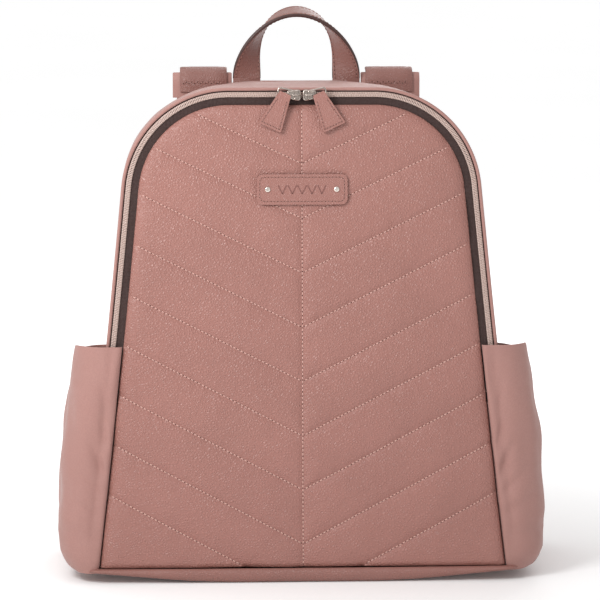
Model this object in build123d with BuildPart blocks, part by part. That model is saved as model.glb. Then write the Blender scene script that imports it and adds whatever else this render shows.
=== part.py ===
from build123d import *

import os
from math import cos, radians, sin, tan

# A backpack diaper bag in faux leather and nylon, standing on its base. The quilted front
# opens forwards on a fold above the side pockets, once the zip round its arch is undone.
# Millimetres, +Z up, front towards -Y, origin at the middle of the base.

# Body. Widths are half widths of the front panel, which every outline is grown from.
FLOOR_HALF_WIDTH = 163
WAIST_HALF_WIDTH = 145.5
WAIST_HEIGHT = 155
TOP_HALF_WIDTH = 123
PANEL_TOP = 378
SHOULDER_RADIUS = 72
BAG_DEPTH = 150
FRONT_LEAN = 5  # degrees that the front leans back from vertical
REACH = 120  # how far a prism runs each way before it is cut

# Heights of the base and of the line that the open front folds on.
BASE_HEIGHT = 12
BASE_WALL = 5
BASE_FLOOR = 2.5
BASE_HALF_WIDTH = 174
BASE_CORNER = 12
BASE_EDGE_FILLET = 5
BOARD_MARGIN = 2
BOARD_THICKNESS = 2.5
FOLD_HEIGHT = 196
FOLD_GAP = 0.3
ABOVE_ALL = 500

# Layers behind the leaning front plane, as (outer depth, inner depth).
FRONT_PANEL_LAYER = (2.0, 6.8)
TAPE_LAYER = (7.0, 7.8)
COIL_LAYER = (5.2, 7.8)
BINDING_LAYER = (5.0, 8.0)
FLAP_LINING_LAYER = (7.9, 8.7)
FLAP_LINING_GROWTH = 5
FLAP_LINING_RISE = 2
GUSSET_FACING_LAYER = (6.8, 8.0)
NAME_PLATE_LAYER = (0.0, 1.95)

# Rings round the front panel's edge, as (outer growth, inner growth).
FRONT_TAPE = (6.0, -8.0)
FRONT_COIL = (7.4, 6.0)
REAR_COIL = (10.2, 8.8)
REAR_TAPE = (11.1, 10.2)
BINDING = (13.8, 11.2)
GUSSET = (13.0, 10.5)
GUSSET_LINING = (10.3, 9.6)
GUSSET_FRONT_DEPTH = 8.0
LINING_FRONT_DEPTH = 10.0
BACK_THICKNESS = 8
BACK_LINING_THICKNESS = 0.9
ORGANISER_SIZE = (220, 140)
ORGANISER_LOW = 40
ORGANISER_DEPTH = 12
ORGANISER_WALL = 1.2
ZIP_END_HEIGHT = 150
END_STOP_LENGTH = 5.8

# Side pockets: how far out each level's wall stands from the bag's middle.
POCKET_INNER_X = 120
POCKET_LEVELS = ((2, 181), (14, 191), (42, 195.5), (72, 195.5), (125, 190), (188, 181))
POCKET_CORNER = 24
PANEL_CLEARANCE = 0.5
SEAM_GAP = 0.01
POCKET_WALL = 1.8
ELASTIC_LEVELS = (178, 186)
ELASTIC_INSET = 2.5
ELASTIC_WALL = 0.8

# Name plate.
PLATE_SIZE = (72, 24)
PLATE_CORNER = 5
PLATE_HEIGHT = 312
RIVET_SPACING = 54.6
RIVET_RADIUS = 2.3
RIVET_HEIGHT = 1.3

# Zip sliders and their pulls. Levels are heights in front of the front plane.
COIL_MIDDLE_HEIGHT = PANEL_TOP + 8.1
SLIDER_X = 6.2
SLIDER_SIZE = (11, 9)
SLIDER_FACE_LEVEL = -1.0
SLIDER_THICKNESS = 3.6
SLIDER_BLADE = (6, 0.6)
SLIDER_REAR_PLATE = (10, 3.8, 1.2)
SLIDER_REAR_DROP = 1.8
SLIDER_REAR_DEPTH = 8.8
BAIL_INWARD = 1.0
BAIL_HALF_LENGTH = 2.6
BAIL_BAR = 1.2
BAIL_WIDTH = 1.6
BAIL_OPENING = 3.1
WIRE_RADIUS = 0.6
WIRE_LEVEL = 1.3
LINK_NEAR = (3.4, -3.8)
LINK_LENGTH = 15.6
LINK_WIDTH = 3.6
TAB_ALONG_LINK = 9.3
TAB_ANGLE = 25  # degrees that a pull tab hangs away from straight down
TAB_LENGTH = 28.5
TAB_TOP_WIDTH = 9.6
TAB_BOTTOM_WIDTH = 19.4
TAB_ABOVE_BORE = 1.6
TAB_THICKNESS = 2.2
TAB_BORE_RADIUS = 0.9

# Top handle: a ribbon that lies flat at its sewn ends and turns as it goes over.
HANDLE_BASE = (70, 393)
HANDLE_HALF_SPAN = 41.2
HANDLE_RISE = 55
HANDLE_WIDTH = 23
HANDLE_THICKNESS = 3
HANDLE_TOP_TILT = -15
HANDLE_SECTIONS = 13

# Shoulder straps.
STRAP_X = 77
STRAP_CENTRE = (80, 390)
STRAP_WIDTH = 62
STRAP_TOP_WIDTH = 46
STRAP_TAPER = (334, 366)
STRAP_END_WIDTH = 34
STRAP_END_TAPER = 30
STRAP_THICKNESS = 7.3
STRAP_ROLL_RADIUS = 5.65
STRAP_BOW_RADIUS = 573
STRAP_BOW_ANGLE = 28
STRAP_WRAP = 116
ANCHOR_LAYER = (70.7, 73.5)
ANCHOR_TOP = 390
ROLL_WIDTH = 39
ROLL_RADII = (9.7, 12)
ROLL_FOOT_HEIGHT = 382
ROLL_END_ANGLE = 80
BUCKLE_SIZE = (36, 24)
BUCKLE_THICKNESS = 3.6
BUCKLE_GAP = 3
BUCKLE_SLOTS = ((27, 4.2, 6.6), (27, 4.2, -3.4))
WEBBING_WIDTH = 25
WEBBING_THICKNESS = 1.4
WEBBING_LOW = 16
WEBBING_BEND = 38
WEBBING_BEND_RADIUS = 60
WEBBING_GAP = 1
PATCH_SIZE = (34, 22)
PATCH_THICKNESS = 1.8
PATCH_HEIGHT = 25

FRONT_NORMAL = (0, -cos(radians(FRONT_LEAN)), sin(radians(FRONT_LEAN)))
SLOPE = tan(radians(FRONT_LEAN))
BACK_FACE = BAG_DEPTH / 2
SIDES = {"left": -1, "right": 1}

os.makedirs("parts", exist_ok=True)


def front_y(height, depth=0.0):
    """Y of the leaning front plane at a height, or of the plane that far behind it."""
    return -BAG_DEPTH / 2 + height * SLOPE + depth / cos(radians(FRONT_LEAN))


def front_plane(depth):
    """The leaning plane that far behind the front, facing forwards."""
    return Plane(
        origin=(0, front_y(0, depth), 0), x_dir=(1, 0, 0), z_dir=FRONT_NORMAL
    )


def front_spot(x, height, depth):
    """A plane parallel to the front, centred on a point given by x, height and depth."""
    return Plane(
        origin=(x, front_y(height, depth), height), x_dir=(1, 0, 0), z_dir=FRONT_NORMAL
    )


def arch_prism(grow, mode=Mode.ADD):
    """The front panel's outline grown by an amount and run through the bag along Y."""
    with BuildSketch(Plane.XZ) as outline:
        with BuildLine():
            side = ThreePointArc(
                (FLOOR_HALF_WIDTH, 0),
                (WAIST_HALF_WIDTH, WAIST_HEIGHT),
                (TOP_HALF_WIDTH, PANEL_TOP),
            )
            Line(side @ 1, (0, PANEL_TOP))
            Line(side @ 0, (0, 0))
            mirror(about=Plane.YZ)
        face = make_face()
        top = face.vertices().group_by(Axis.Y)[-1].sort_by(Axis.X)
        fillet([top[0], top[-1]], SHOULDER_RADIUS)
        if grow:
            offset(amount=grow)
    extrude(outline.sketch, amount=REACH, both=True, mode=mode)


def keep_layer(outer_depth, inner_depth):
    """Cuts the part to the layer between two planes parallel to the front."""
    split(bisect_by=front_plane(outer_depth), keep=Keep.BOTTOM)
    split(bisect_by=front_plane(inner_depth), keep=Keep.TOP)


def keep_heights(low, high):
    """Cuts the part to the space between two heights."""
    split(bisect_by=Plane.XY.offset(low), keep=Keep.TOP)
    split(bisect_by=Plane.XY.offset(high), keep=Keep.BOTTOM)


def keep_before(y):
    """Cuts away everything behind a y."""
    split(bisect_by=Plane.XZ.offset(-y), keep=Keep.TOP)


def keep_behind(y):
    """Cuts away everything in front of a y."""
    split(bisect_by=Plane.XZ.offset(-y), keep=Keep.BOTTOM)


def front_ring(ring, layer, low, high):
    """A strip that follows the front panel's edge, in one layer of the front."""
    arch_prism(ring[0])
    arch_prism(ring[1], mode=Mode.SUBTRACT)
    keep_layer(*layer)
    keep_heights(low, high)


# ---------------------------------------------------------------- front panel
with BuildPart() as front_panel_lower:
    arch_prism(0)
    keep_layer(*FRONT_PANEL_LAYER)
    keep_heights(BASE_HEIGHT, FOLD_HEIGHT - FOLD_GAP)
front_panel_lower.part.label = "front_panel_lower"
export_step(front_panel_lower.part, "parts/front_panel_lower.step")

with BuildPart() as front_panel_flap:
    arch_prism(0)
    keep_layer(*FRONT_PANEL_LAYER)
    keep_heights(FOLD_HEIGHT, ABOVE_ALL)
front_panel_flap.part.label = "front_panel_flap"
export_step(front_panel_flap.part, "parts/front_panel_flap.step")

with BuildPart() as flap_lining:
    arch_prism(FLAP_LINING_GROWTH)
    keep_layer(*FLAP_LINING_LAYER)
    keep_heights(FOLD_HEIGHT + FLAP_LINING_RISE, ABOVE_ALL)
flap_lining.part.label = "flap_lining"
export_step(flap_lining.part, "parts/flap_lining.step")

# ---------------------------------------------------------------------- zip
with BuildPart() as zip_tape_flap:
    front_ring(FRONT_TAPE, TAPE_LAYER, FOLD_HEIGHT, ABOVE_ALL)
zip_tape_flap.part.label = "zip_tape_flap"
export_step(zip_tape_flap.part, "parts/zip_tape_flap.step")

with BuildPart() as zip_coil_flap:
    front_ring(FRONT_COIL, COIL_LAYER, FOLD_HEIGHT, ABOVE_ALL)
zip_coil_flap.part.label = "zip_coil_flap"
export_step(zip_coil_flap.part, "parts/zip_coil_flap.step")

with BuildPart() as zip_tape_tail:
    front_ring(FRONT_TAPE, TAPE_LAYER, ZIP_END_HEIGHT, FOLD_HEIGHT - FOLD_GAP)
zip_tape_tail.part.label = "zip_tape_tail"
export_step(zip_tape_tail.part, "parts/zip_tape_tail.step")

with BuildPart() as zip_coil_tail:
    front_ring(FRONT_COIL, COIL_LAYER, ZIP_END_HEIGHT, FOLD_HEIGHT - FOLD_GAP)
zip_coil_tail.part.label = "zip_coil_tail"
export_step(zip_coil_tail.part, "parts/zip_coil_tail.step")

with BuildPart() as zip_tape_gusset:
    front_ring(REAR_TAPE, TAPE_LAYER, ZIP_END_HEIGHT, ABOVE_ALL)
zip_tape_gusset.part.label = "zip_tape_gusset"
export_step(zip_tape_gusset.part, "parts/zip_tape_gusset.step")

with BuildPart() as zip_coil_gusset:
    front_ring(REAR_COIL, COIL_LAYER, ZIP_END_HEIGHT, ABOVE_ALL)
zip_coil_gusset.part.label = "zip_coil_gusset"
export_step(zip_coil_gusset.part, "parts/zip_coil_gusset.step")

with BuildPart() as zip_end_stops:
    front_ring(
        (REAR_COIL[0], FRONT_COIL[1]),
        BINDING_LAYER,
        ZIP_END_HEIGHT - END_STOP_LENGTH,
        ZIP_END_HEIGHT - FOLD_GAP,
    )
zip_end_stops.part.label = "zip_end_stops"
export_step(zip_end_stops.part, "parts/zip_end_stops.step")

# ------------------------------------------------------------------- gusset
with BuildPart() as gusset:
    arch_prism(GUSSET[0])
    arch_prism(GUSSET[1], mode=Mode.SUBTRACT)
    split(bisect_by=front_plane(GUSSET_FRONT_DEPTH), keep=Keep.BOTTOM)
    keep_before(BACK_FACE - BACK_THICKNESS)
    keep_heights(BASE_HEIGHT, ABOVE_ALL)
gusset.part.label = "gusset"
export_step(gusset.part, "parts/gusset.step")

with BuildPart() as gusset_lining:
    arch_prism(GUSSET_LINING[0])
    arch_prism(GUSSET_LINING[1], mode=Mode.SUBTRACT)
    split(bisect_by=front_plane(LINING_FRONT_DEPTH), keep=Keep.BOTTOM)
    keep_before(BACK_FACE - BACK_THICKNESS - BACK_LINING_THICKNESS)
    keep_heights(BASE_HEIGHT, ABOVE_ALL)
gusset_lining.part.label = "gusset_lining"
export_step(gusset_lining.part, "parts/gusset_lining.step")

with BuildPart() as gusset_binding:
    front_ring(BINDING, BINDING_LAYER, BASE_HEIGHT, ABOVE_ALL)
gusset_binding.part.label = "gusset_binding"
export_step(gusset_binding.part, "parts/gusset_binding.step")

with BuildPart() as gusset_facing:
    front_ring(
        (GUSSET[1], PANEL_CLEARANCE),
        GUSSET_FACING_LAYER,
        BASE_HEIGHT,
        ZIP_END_HEIGHT - END_STOP_LENGTH - FOLD_GAP,
    )
gusset_facing.part.label = "gusset_facing"
export_step(gusset_facing.part, "parts/gusset_facing.step")

# --------------------------------------------------------------------- base
with BuildPart() as base_panel:
    with BuildSketch():
        RectangleRounded(2 * BASE_HALF_WIDTH, BAG_DEPTH, BASE_CORNER)
    extrude(amount=BASE_HEIGHT)
    fillet(base_panel.faces().sort_by(Axis.Z)[0].edges(), BASE_EDGE_FILLET)
    with BuildSketch(Plane.XY.offset(BASE_FLOOR)):
        RectangleRounded(
            2 * (BASE_HALF_WIDTH - BASE_WALL),
            BAG_DEPTH - 2 * BASE_WALL,
            BASE_CORNER - BASE_WALL,
        )
    extrude(amount=BASE_HEIGHT, mode=Mode.SUBTRACT)
base_panel.part.label = "base_panel"
export_step(base_panel.part, "parts/base_panel.step")

with BuildPart() as base_board:
    with BuildSketch(Plane.XY.offset(BASE_FLOOR)):
        RectangleRounded(
            2 * (BASE_HALF_WIDTH - BASE_WALL - BOARD_MARGIN),
            BAG_DEPTH - 2 * (BASE_WALL + BOARD_MARGIN),
            BOARD_MARGIN * 2,
        )
    extrude(amount=BOARD_THICKNESS)
base_board.part.label = "base_board"
export_step(base_board.part, "parts/base_board.step")

with BuildPart() as base_lining:
    with BuildSketch(Plane.XY.offset(BASE_FLOOR + BOARD_THICKNESS)):
        RectangleRounded(
            2 * (BASE_HALF_WIDTH - BASE_WALL - BOARD_MARGIN / 2),
            BAG_DEPTH - 2 * (BASE_WALL + BOARD_MARGIN / 2),
            BOARD_MARGIN * 2,
        )
    extrude(amount=BACK_LINING_THICKNESS)
base_lining.part.label = "base_lining"
export_step(base_lining.part, "parts/base_lining.step")

# --------------------------------------------------------------------- back
with BuildPart() as back_panel:
    arch_prism(GUSSET[0])
    keep_behind(BACK_FACE - BACK_THICKNESS)
    keep_before(BACK_FACE)
    keep_heights(BASE_HEIGHT, ABOVE_ALL)
back_panel.part.label = "back_panel"
export_step(back_panel.part, "parts/back_panel.step")

with BuildPart() as back_lining:
    arch_prism(GUSSET_LINING[1])
    keep_behind(BACK_FACE - BACK_THICKNESS - BACK_LINING_THICKNESS)
    keep_before(BACK_FACE - BACK_THICKNESS)
    keep_heights(BASE_HEIGHT, ABOVE_ALL)
back_lining.part.label = "back_lining"
export_step(back_lining.part, "parts/back_lining.step")

# An open-topped organiser pocket sewn to the lining of the back.
with BuildPart() as inner_pocket:
    organiser_back = BACK_FACE - BACK_THICKNESS - BACK_LINING_THICKNESS
    with BuildSketch(Plane.XY.offset(ORGANISER_LOW)):
        with Locations((0, organiser_back - ORGANISER_DEPTH / 2)):
            Rectangle(ORGANISER_SIZE[0], ORGANISER_DEPTH)
    extrude(amount=ORGANISER_SIZE[1])
    with BuildSketch(Plane.XY.offset(ORGANISER_LOW + ORGANISER_WALL)):
        with Locations((0, organiser_back - (ORGANISER_DEPTH - ORGANISER_WALL) / 2)):
            Rectangle(
                ORGANISER_SIZE[0] - 2 * ORGANISER_WALL, ORGANISER_DEPTH - ORGANISER_WALL
            )
    extrude(amount=ORGANISER_SIZE[1], mode=Mode.SUBTRACT)
inner_pocket.part.label = "inner_pocket"
export_step(inner_pocket.part, "parts/inner_pocket.step")


# ------------------------------------------------------------- side pockets
def pocket_body(side, inset, levels, mode=Mode.ADD):
    """A pocket's full volume, from inside the bag out to its wall less an inset."""
    plans = []
    for height, reach in levels:
        front = front_y(height, PANEL_CLEARANCE) + inset
        back = BACK_FACE - PANEL_CLEARANCE - inset
        width = reach - inset - POCKET_INNER_X
        with BuildSketch(Plane.XY.offset(height)) as plan:
            with Locations((side * (POCKET_INNER_X + width / 2), (front + back) / 2)):
                RectangleRounded(width, back - front, POCKET_CORNER - inset)
        plans.append(plan.sketch)
    loft(plans, ruled=True, mode=mode)


def reach_at(height):
    """How far out a pocket's wall stands at a height between its upper two levels."""
    (low, wide), (high, narrow) = POCKET_LEVELS[-2:]
    return wide + (narrow - wide) * (height - low) / (high - low)


# The bag's own volume, which is taken out of each pocket so that it ends on the seams.
with BuildPart() as bag_volume:
    arch_prism(GUSSET[0] + SEAM_GAP)
    split(bisect_by=front_plane(GUSSET_FRONT_DEPTH), keep=Keep.BOTTOM)
    arch_prism(PANEL_CLEARANCE)
    Box(2 * BASE_HALF_WIDTH, BAG_DEPTH, 2 * BASE_HEIGHT)

POCKET_FLOOR = POCKET_LEVELS[0][0] + POCKET_WALL
inner_levels = [(POCKET_FLOOR, POCKET_LEVELS[0][1]), *POCKET_LEVELS[1:]]

for name, side in SIDES.items():
    with BuildPart() as side_pocket:
        pocket_body(side, 0, POCKET_LEVELS)
        pocket_body(side, POCKET_WALL, inner_levels, mode=Mode.SUBTRACT)
        add(bag_volume.part, mode=Mode.SUBTRACT)
    side_pocket.part.label = f"side_pocket_{name}"
    export_step(side_pocket.part, f"parts/{side_pocket.part.label}.step")

    with BuildPart() as pocket_elastic:
        band = [(height, reach_at(height)) for height in ELASTIC_LEVELS]
        pocket_body(side, ELASTIC_INSET, band)
        pocket_body(side, ELASTIC_INSET + ELASTIC_WALL, band, mode=Mode.SUBTRACT)
        arch_prism(GUSSET[0] + PANEL_CLEARANCE, mode=Mode.SUBTRACT)
    pocket_elastic.part.label = f"pocket_elastic_{name}"
    export_step(pocket_elastic.part, f"parts/{pocket_elastic.part.label}.step")

# --------------------------------------------------------------- name plate
with BuildPart() as name_plate:
    with BuildSketch(Plane.XZ):
        with Locations((0, PLATE_HEIGHT)):
            RectangleRounded(*PLATE_SIZE, PLATE_CORNER)
    extrude(amount=REACH)
    keep_layer(*NAME_PLATE_LAYER)
name_plate.part.label = "name_plate"
export_step(name_plate.part, "parts/name_plate.step")

with BuildPart() as name_plate_rivets:
    for x in (-RIVET_SPACING / 2, RIVET_SPACING / 2):
        with BuildSketch(front_spot(x, PLATE_HEIGHT, 0)):
            Circle(RIVET_RADIUS)
    extrude(amount=RIVET_HEIGHT)
    fillet(
        name_plate_rivets.faces().filter_by(GeomType.PLANE).sort_by(Axis.Y)[:2].edges(),
        RIVET_HEIGHT * 0.8,
    )
name_plate_rivets.part.label = "name_plate_rivets"
export_step(name_plate_rivets.part, "parts/name_plate_rivets.step")


# ---------------------------------------------------------- sliders and pulls
for name, side in SIDES.items():
    slider_x = side * SLIDER_X
    bail_x = -side * BAIL_INWARD
    face = front_spot(slider_x, COIL_MIDDLE_HEIGHT, -SLIDER_FACE_LEVEL)
    under_depth = SLIDER_THICKNESS - SLIDER_FACE_LEVEL
    blade_depth = (under_depth + SLIDER_REAR_DEPTH) / 2

    with BuildPart() as zip_slider:
        with BuildSketch(face):
            RectangleRounded(*SLIDER_SIZE, 2.5)
        extrude(amount=-SLIDER_THICKNESS)
        fillet(zip_slider.faces().sort_by(Axis.Y)[0].edges(), 0.8)
        # The blade that parts the two coils, and the plate behind the front coil.
        with BuildSketch(front_spot(slider_x, COIL_MIDDLE_HEIGHT, blade_depth)):
            Rectangle(*SLIDER_BLADE)
        extrude(amount=SLIDER_REAR_DEPTH - blade_depth, both=True)
        with BuildSketch(front_spot(slider_x, COIL_MIDDLE_HEIGHT, SLIDER_REAR_DEPTH)):
            with Locations((0, -SLIDER_REAR_DROP)):
                Rectangle(*SLIDER_REAR_PLATE[:2])
        extrude(amount=-SLIDER_REAR_PLATE[2])
        # The bail: a bar on two feet, along the way the slider runs.
        with BuildSketch(face):
            with Locations((bail_x - BAIL_HALF_LENGTH, 0), (bail_x + BAIL_HALF_LENGTH, 0)):
                Rectangle(BAIL_BAR, BAIL_WIDTH)
        extrude(amount=BAIL_OPENING)
        with BuildSketch(face.offset(BAIL_OPENING)):
            with Locations((bail_x, 0)):
                RectangleRounded(2 * BAIL_HALF_LENGTH + BAIL_BAR, BAIL_WIDTH, 0.4)
        extrude(amount=BAIL_BAR)
    zip_slider.part.label = f"zip_slider_{name}"
    export_step(zip_slider.part, f"parts/{zip_slider.part.label}.step")

    # The link hangs in the bail by its upright side. Its lower side carries the tab.
    wire_plane = front_spot(slider_x + bail_x, COIL_MIDDLE_HEIGHT, -WIRE_LEVEL)
    along = Vector(side * cos(radians(TAB_ANGLE)), sin(radians(TAB_ANGLE)))
    above = Vector(-side * sin(radians(TAB_ANGLE)), cos(radians(TAB_ANGLE)))
    link_top = Vector(0, LINK_NEAR[0])
    link_low = Vector(0, LINK_NEAR[1])
    link_end = link_low + along * LINK_LENGTH
    with BuildPart() as pull_link:
        with BuildLine(wire_plane) as wire:
            corners = (link_top, link_low, link_end, link_end + above * LINK_WIDTH)
            FilletPolyline(*((v.X, v.Y) for v in corners), radius=1.2, close=True)
        with BuildSketch(Plane(origin=wire.line @ 0, z_dir=wire.line % 0)):
            Circle(WIRE_RADIUS)
        sweep()
    pull_link.part.label = f"pull_link_{name}"
    export_step(pull_link.part, f"parts/{pull_link.part.label}.step")

    bore = wire_plane.from_local_coords(link_low + along * TAB_ALONG_LINK)
    bore_line = wire_plane.from_local_coords(link_end) - wire_plane.from_local_coords(link_low)
    tab_plane = Plane(origin=bore, x_dir=bore_line * side, z_dir=FRONT_NORMAL)
    with BuildPart() as pull_tab:
        with BuildSketch(tab_plane.offset(-TAB_THICKNESS / 2)):
            with BuildLine():
                Polyline(
                    (-TAB_TOP_WIDTH / 2, TAB_ABOVE_BORE),
                    (TAB_TOP_WIDTH / 2, TAB_ABOVE_BORE),
                    (TAB_BOTTOM_WIDTH / 2, -TAB_LENGTH),
                    (-TAB_BOTTOM_WIDTH / 2, -TAB_LENGTH),
                    close=True,
                )
            tab = make_face()
            fillet(tab.vertices(), 1.2)
        extrude(amount=TAB_THICKNESS)
        with BuildSketch(Plane(origin=bore, z_dir=tab_plane.x_dir)):
            Circle(TAB_BORE_RADIUS)
        extrude(amount=TAB_TOP_WIDTH, both=True, mode=Mode.SUBTRACT)
    pull_tab.part.label = f"pull_tab_{name}"
    export_step(pull_tab.part, f"parts/{pull_tab.part.label}.step")

# ------------------------------------------------------------------- handle
with BuildPart() as top_handle:
    for step in range(HANDLE_SECTIONS):
        turn = 180 * step / (HANDLE_SECTIONS - 1)  # from the right foot to the left one
        angle = radians(turn)
        from_top = abs(turn - 90) / 90
        tilt = radians(HANDLE_TOP_TILT + (90 - HANDLE_TOP_TILT) * from_top**2)
        outward = Vector(HANDLE_RISE * cos(angle), 0, HANDLE_HALF_SPAN * sin(angle))
        outward = outward.normalized()
        across = Vector(0, -1, 0) * cos(tilt) + outward * sin(tilt)
        tangent = Vector(
            -HANDLE_HALF_SPAN * sin(angle), 0, HANDLE_RISE * cos(angle)
        ).normalized()
        middle = (
            HANDLE_HALF_SPAN * cos(angle),
            HANDLE_BASE[0],
            HANDLE_BASE[1] + HANDLE_RISE * sin(angle),
        )
        with BuildSketch(Plane(origin=middle, x_dir=across, z_dir=tangent)):
            Rectangle(HANDLE_WIDTH, HANDLE_THICKNESS)
    loft()
top_handle.part.label = "top_handle"
export_step(top_handle.part, "parts/top_handle.step")

# ------------------------------------------------------------ shoulder straps
for name, side in SIDES.items():
    centre_x = side * STRAP_X
    strap_side = Plane(origin=(centre_x, 0, 0), x_dir=(0, 1, 0), z_dir=(1, 0, 0))

    with BuildPart() as strap_base:
        with BuildSketch(strap_side):
            with Locations((sum(ANCHOR_LAYER) / 2, (PANEL_TOP + ANCHOR_TOP) / 2)):
                Rectangle(ANCHOR_LAYER[1] - ANCHOR_LAYER[0], ANCHOR_TOP - PANEL_TOP)
        extrude(amount=STRAP_TOP_WIDTH / 2, both=True)
        arch_prism(GUSSET[0], mode=Mode.SUBTRACT)
    strap_base.part.label = f"strap_base_{name}"
    export_step(strap_base.part, f"parts/{strap_base.part.label}.step")

    with BuildPart() as strap_roll:
        with BuildSketch(strap_side):
            with BuildLine():
                inner, outer = (
                    CenterArc(STRAP_CENTRE, radius, ROLL_END_ANGLE, 180 - ROLL_END_ANGLE)
                    for radius in ROLL_RADII
                )
                Line(inner @ 0, outer @ 0)
                foot_in = Line(inner @ 1, (STRAP_CENTRE[0] - ROLL_RADII[0], ROLL_FOOT_HEIGHT))
                foot_out = Line(outer @ 1, (STRAP_CENTRE[0] - ROLL_RADII[1], ROLL_FOOT_HEIGHT))
                Line(foot_in @ 1, foot_out @ 1)
            make_face()
        extrude(amount=ROLL_WIDTH / 2, both=True)
        arch_prism(GUSSET[0] + PANEL_CLEARANCE, mode=Mode.SUBTRACT)
    strap_roll.part.label = f"strap_roll_{name}"
    export_step(strap_roll.part, f"parts/{strap_roll.part.label}.step")

    with BuildPart() as shoulder_strap:
        with BuildLine(strap_side) as strap_path:
            bow_start = STRAP_BOW_ANGLE / 2
            wrap = CenterArc(
                STRAP_CENTRE, STRAP_ROLL_RADIUS, bow_start + STRAP_WRAP, -STRAP_WRAP
            )
            JernArc(wrap @ 1, wrap % 1, STRAP_BOW_RADIUS, -STRAP_BOW_ANGLE)
        start = strap_path.line @ 0
        strap_end = strap_path.line @ 1
        with BuildSketch(
            Plane(origin=start, x_dir=(1, 0, 0), z_dir=strap_path.line % 0)
        ):
            Rectangle(STRAP_WIDTH, STRAP_THICKNESS)
        sweep()
        # Seen from behind, it narrows to its sewn top and to its buckle.
        with BuildSketch(Plane.XZ):
            with BuildLine():
                Polyline(
                    (centre_x + STRAP_TOP_WIDTH / 2, STRAP_TAPER[1]),
                    (centre_x + STRAP_WIDTH / 2, STRAP_TAPER[0]),
                    (centre_x + STRAP_WIDTH / 2, strap_end.Z + STRAP_END_TAPER),
                    (centre_x + STRAP_END_WIDTH / 2, strap_end.Z - STRAP_THICKNESS),
                    (centre_x - STRAP_END_WIDTH / 2, strap_end.Z - STRAP_THICKNESS),
                    (centre_x - STRAP_WIDTH / 2, strap_end.Z + STRAP_END_TAPER),
                    (centre_x - STRAP_WIDTH / 2, STRAP_TAPER[0]),
                    (centre_x - STRAP_TOP_WIDTH / 2, STRAP_TAPER[1]),
                    (centre_x - STRAP_TOP_WIDTH / 2, ABOVE_ALL),
                    (centre_x + STRAP_TOP_WIDTH / 2, ABOVE_ALL),
                    close=True,
                )
            make_face()
        extrude(amount=REACH, both=True, mode=Mode.INTERSECT)
    shoulder_strap.part.label = f"shoulder_strap_{name}"
    export_step(shoulder_strap.part, f"parts/{shoulder_strap.part.label}.step")

    buckle_top = strap_end.Z - BUCKLE_GAP
    buckle_middle = buckle_top - BUCKLE_SIZE[1] / 2
    with BuildPart() as buckle:
        with BuildSketch(Plane.XZ.offset(-strap_end.Y)):
            with Locations((centre_x, buckle_middle)):
                RectangleRounded(*BUCKLE_SIZE, 3)
            for slot_width, slot_height, rise in BUCKLE_SLOTS:
                with Locations((centre_x, buckle_middle + rise)):
                    RectangleRounded(slot_width, slot_height, 1, mode=Mode.SUBTRACT)
        extrude(amount=BUCKLE_THICKNESS / 2, both=True)
        fillet(buckle.faces().sort_by(Axis.Y)[-1].outer_wire().edges(), 0.8)
    buckle.part.label = f"strap_buckle_{name}"
    export_step(buckle.part, f"parts/{buckle.part.label}.step")

    webbing_back = BACK_FACE + PATCH_THICKNESS + WEBBING_THICKNESS / 2
    webbing_top = buckle_top - BUCKLE_SIZE[1] - WEBBING_GAP
    with BuildPart() as webbing:
        with BuildLine(strap_side) as webbing_path:
            FilletPolyline(
                (webbing_back, WEBBING_LOW),
                (webbing_back, WEBBING_BEND),
                (strap_end.Y, webbing_top),
                radius=WEBBING_BEND_RADIUS,
            )
        with BuildSketch(
            Plane(origin=webbing_path.line @ 0, x_dir=(1, 0, 0), z_dir=(0, 0, 1))
        ):
            Rectangle(WEBBING_WIDTH, WEBBING_THICKNESS)
        sweep()
    webbing.part.label = f"strap_webbing_{name}"
    export_step(webbing.part, f"parts/{webbing.part.label}.step")

    with BuildPart() as patch:
        with BuildSketch(Plane.XZ.offset(-BACK_FACE)):
            with Locations((centre_x, PATCH_HEIGHT)):
                RectangleRounded(*PATCH_SIZE, 3)
        extrude(amount=-PATCH_THICKNESS)
    patch.part.label = f"strap_patch_{name}"
    export_step(patch.part, f"parts/{patch.part.label}.step")
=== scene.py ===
from math import atan2, cos, hypot, pi, radians, sin, sqrt, tan

import bmesh
import bpy
import numpy as np
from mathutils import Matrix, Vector
from mathutils.geometry import delaunay_2d_cdt


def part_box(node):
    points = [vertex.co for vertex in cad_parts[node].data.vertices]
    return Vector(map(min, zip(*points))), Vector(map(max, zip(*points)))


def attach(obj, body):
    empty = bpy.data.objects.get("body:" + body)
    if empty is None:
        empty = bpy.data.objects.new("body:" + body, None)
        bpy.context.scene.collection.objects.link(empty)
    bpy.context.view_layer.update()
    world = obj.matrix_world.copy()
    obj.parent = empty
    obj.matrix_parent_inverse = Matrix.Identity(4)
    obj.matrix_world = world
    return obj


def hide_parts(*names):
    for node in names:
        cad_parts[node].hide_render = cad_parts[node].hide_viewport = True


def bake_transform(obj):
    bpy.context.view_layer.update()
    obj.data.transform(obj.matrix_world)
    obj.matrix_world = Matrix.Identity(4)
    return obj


# A backpack diaper bag in quilted faux leather and nylon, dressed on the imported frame.
# Sizes are in millimetres until a mesh is made. +Z is up and the front faces -Y.

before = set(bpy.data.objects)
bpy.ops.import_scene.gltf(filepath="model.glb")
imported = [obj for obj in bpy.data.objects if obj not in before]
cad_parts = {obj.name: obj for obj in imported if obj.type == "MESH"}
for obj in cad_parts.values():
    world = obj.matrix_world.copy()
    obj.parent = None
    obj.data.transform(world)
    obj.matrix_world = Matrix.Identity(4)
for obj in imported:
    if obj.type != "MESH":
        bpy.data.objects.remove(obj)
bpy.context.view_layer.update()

MM = 0.001
SCENE = bpy.context.scene
SIDES = {"left": -1, "right": 1}


def box(node):
    """Lowest and highest corner of a CAD node, in millimetres."""
    low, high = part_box(node)
    return np.array(low) / MM, np.array(high) / MM


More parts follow.
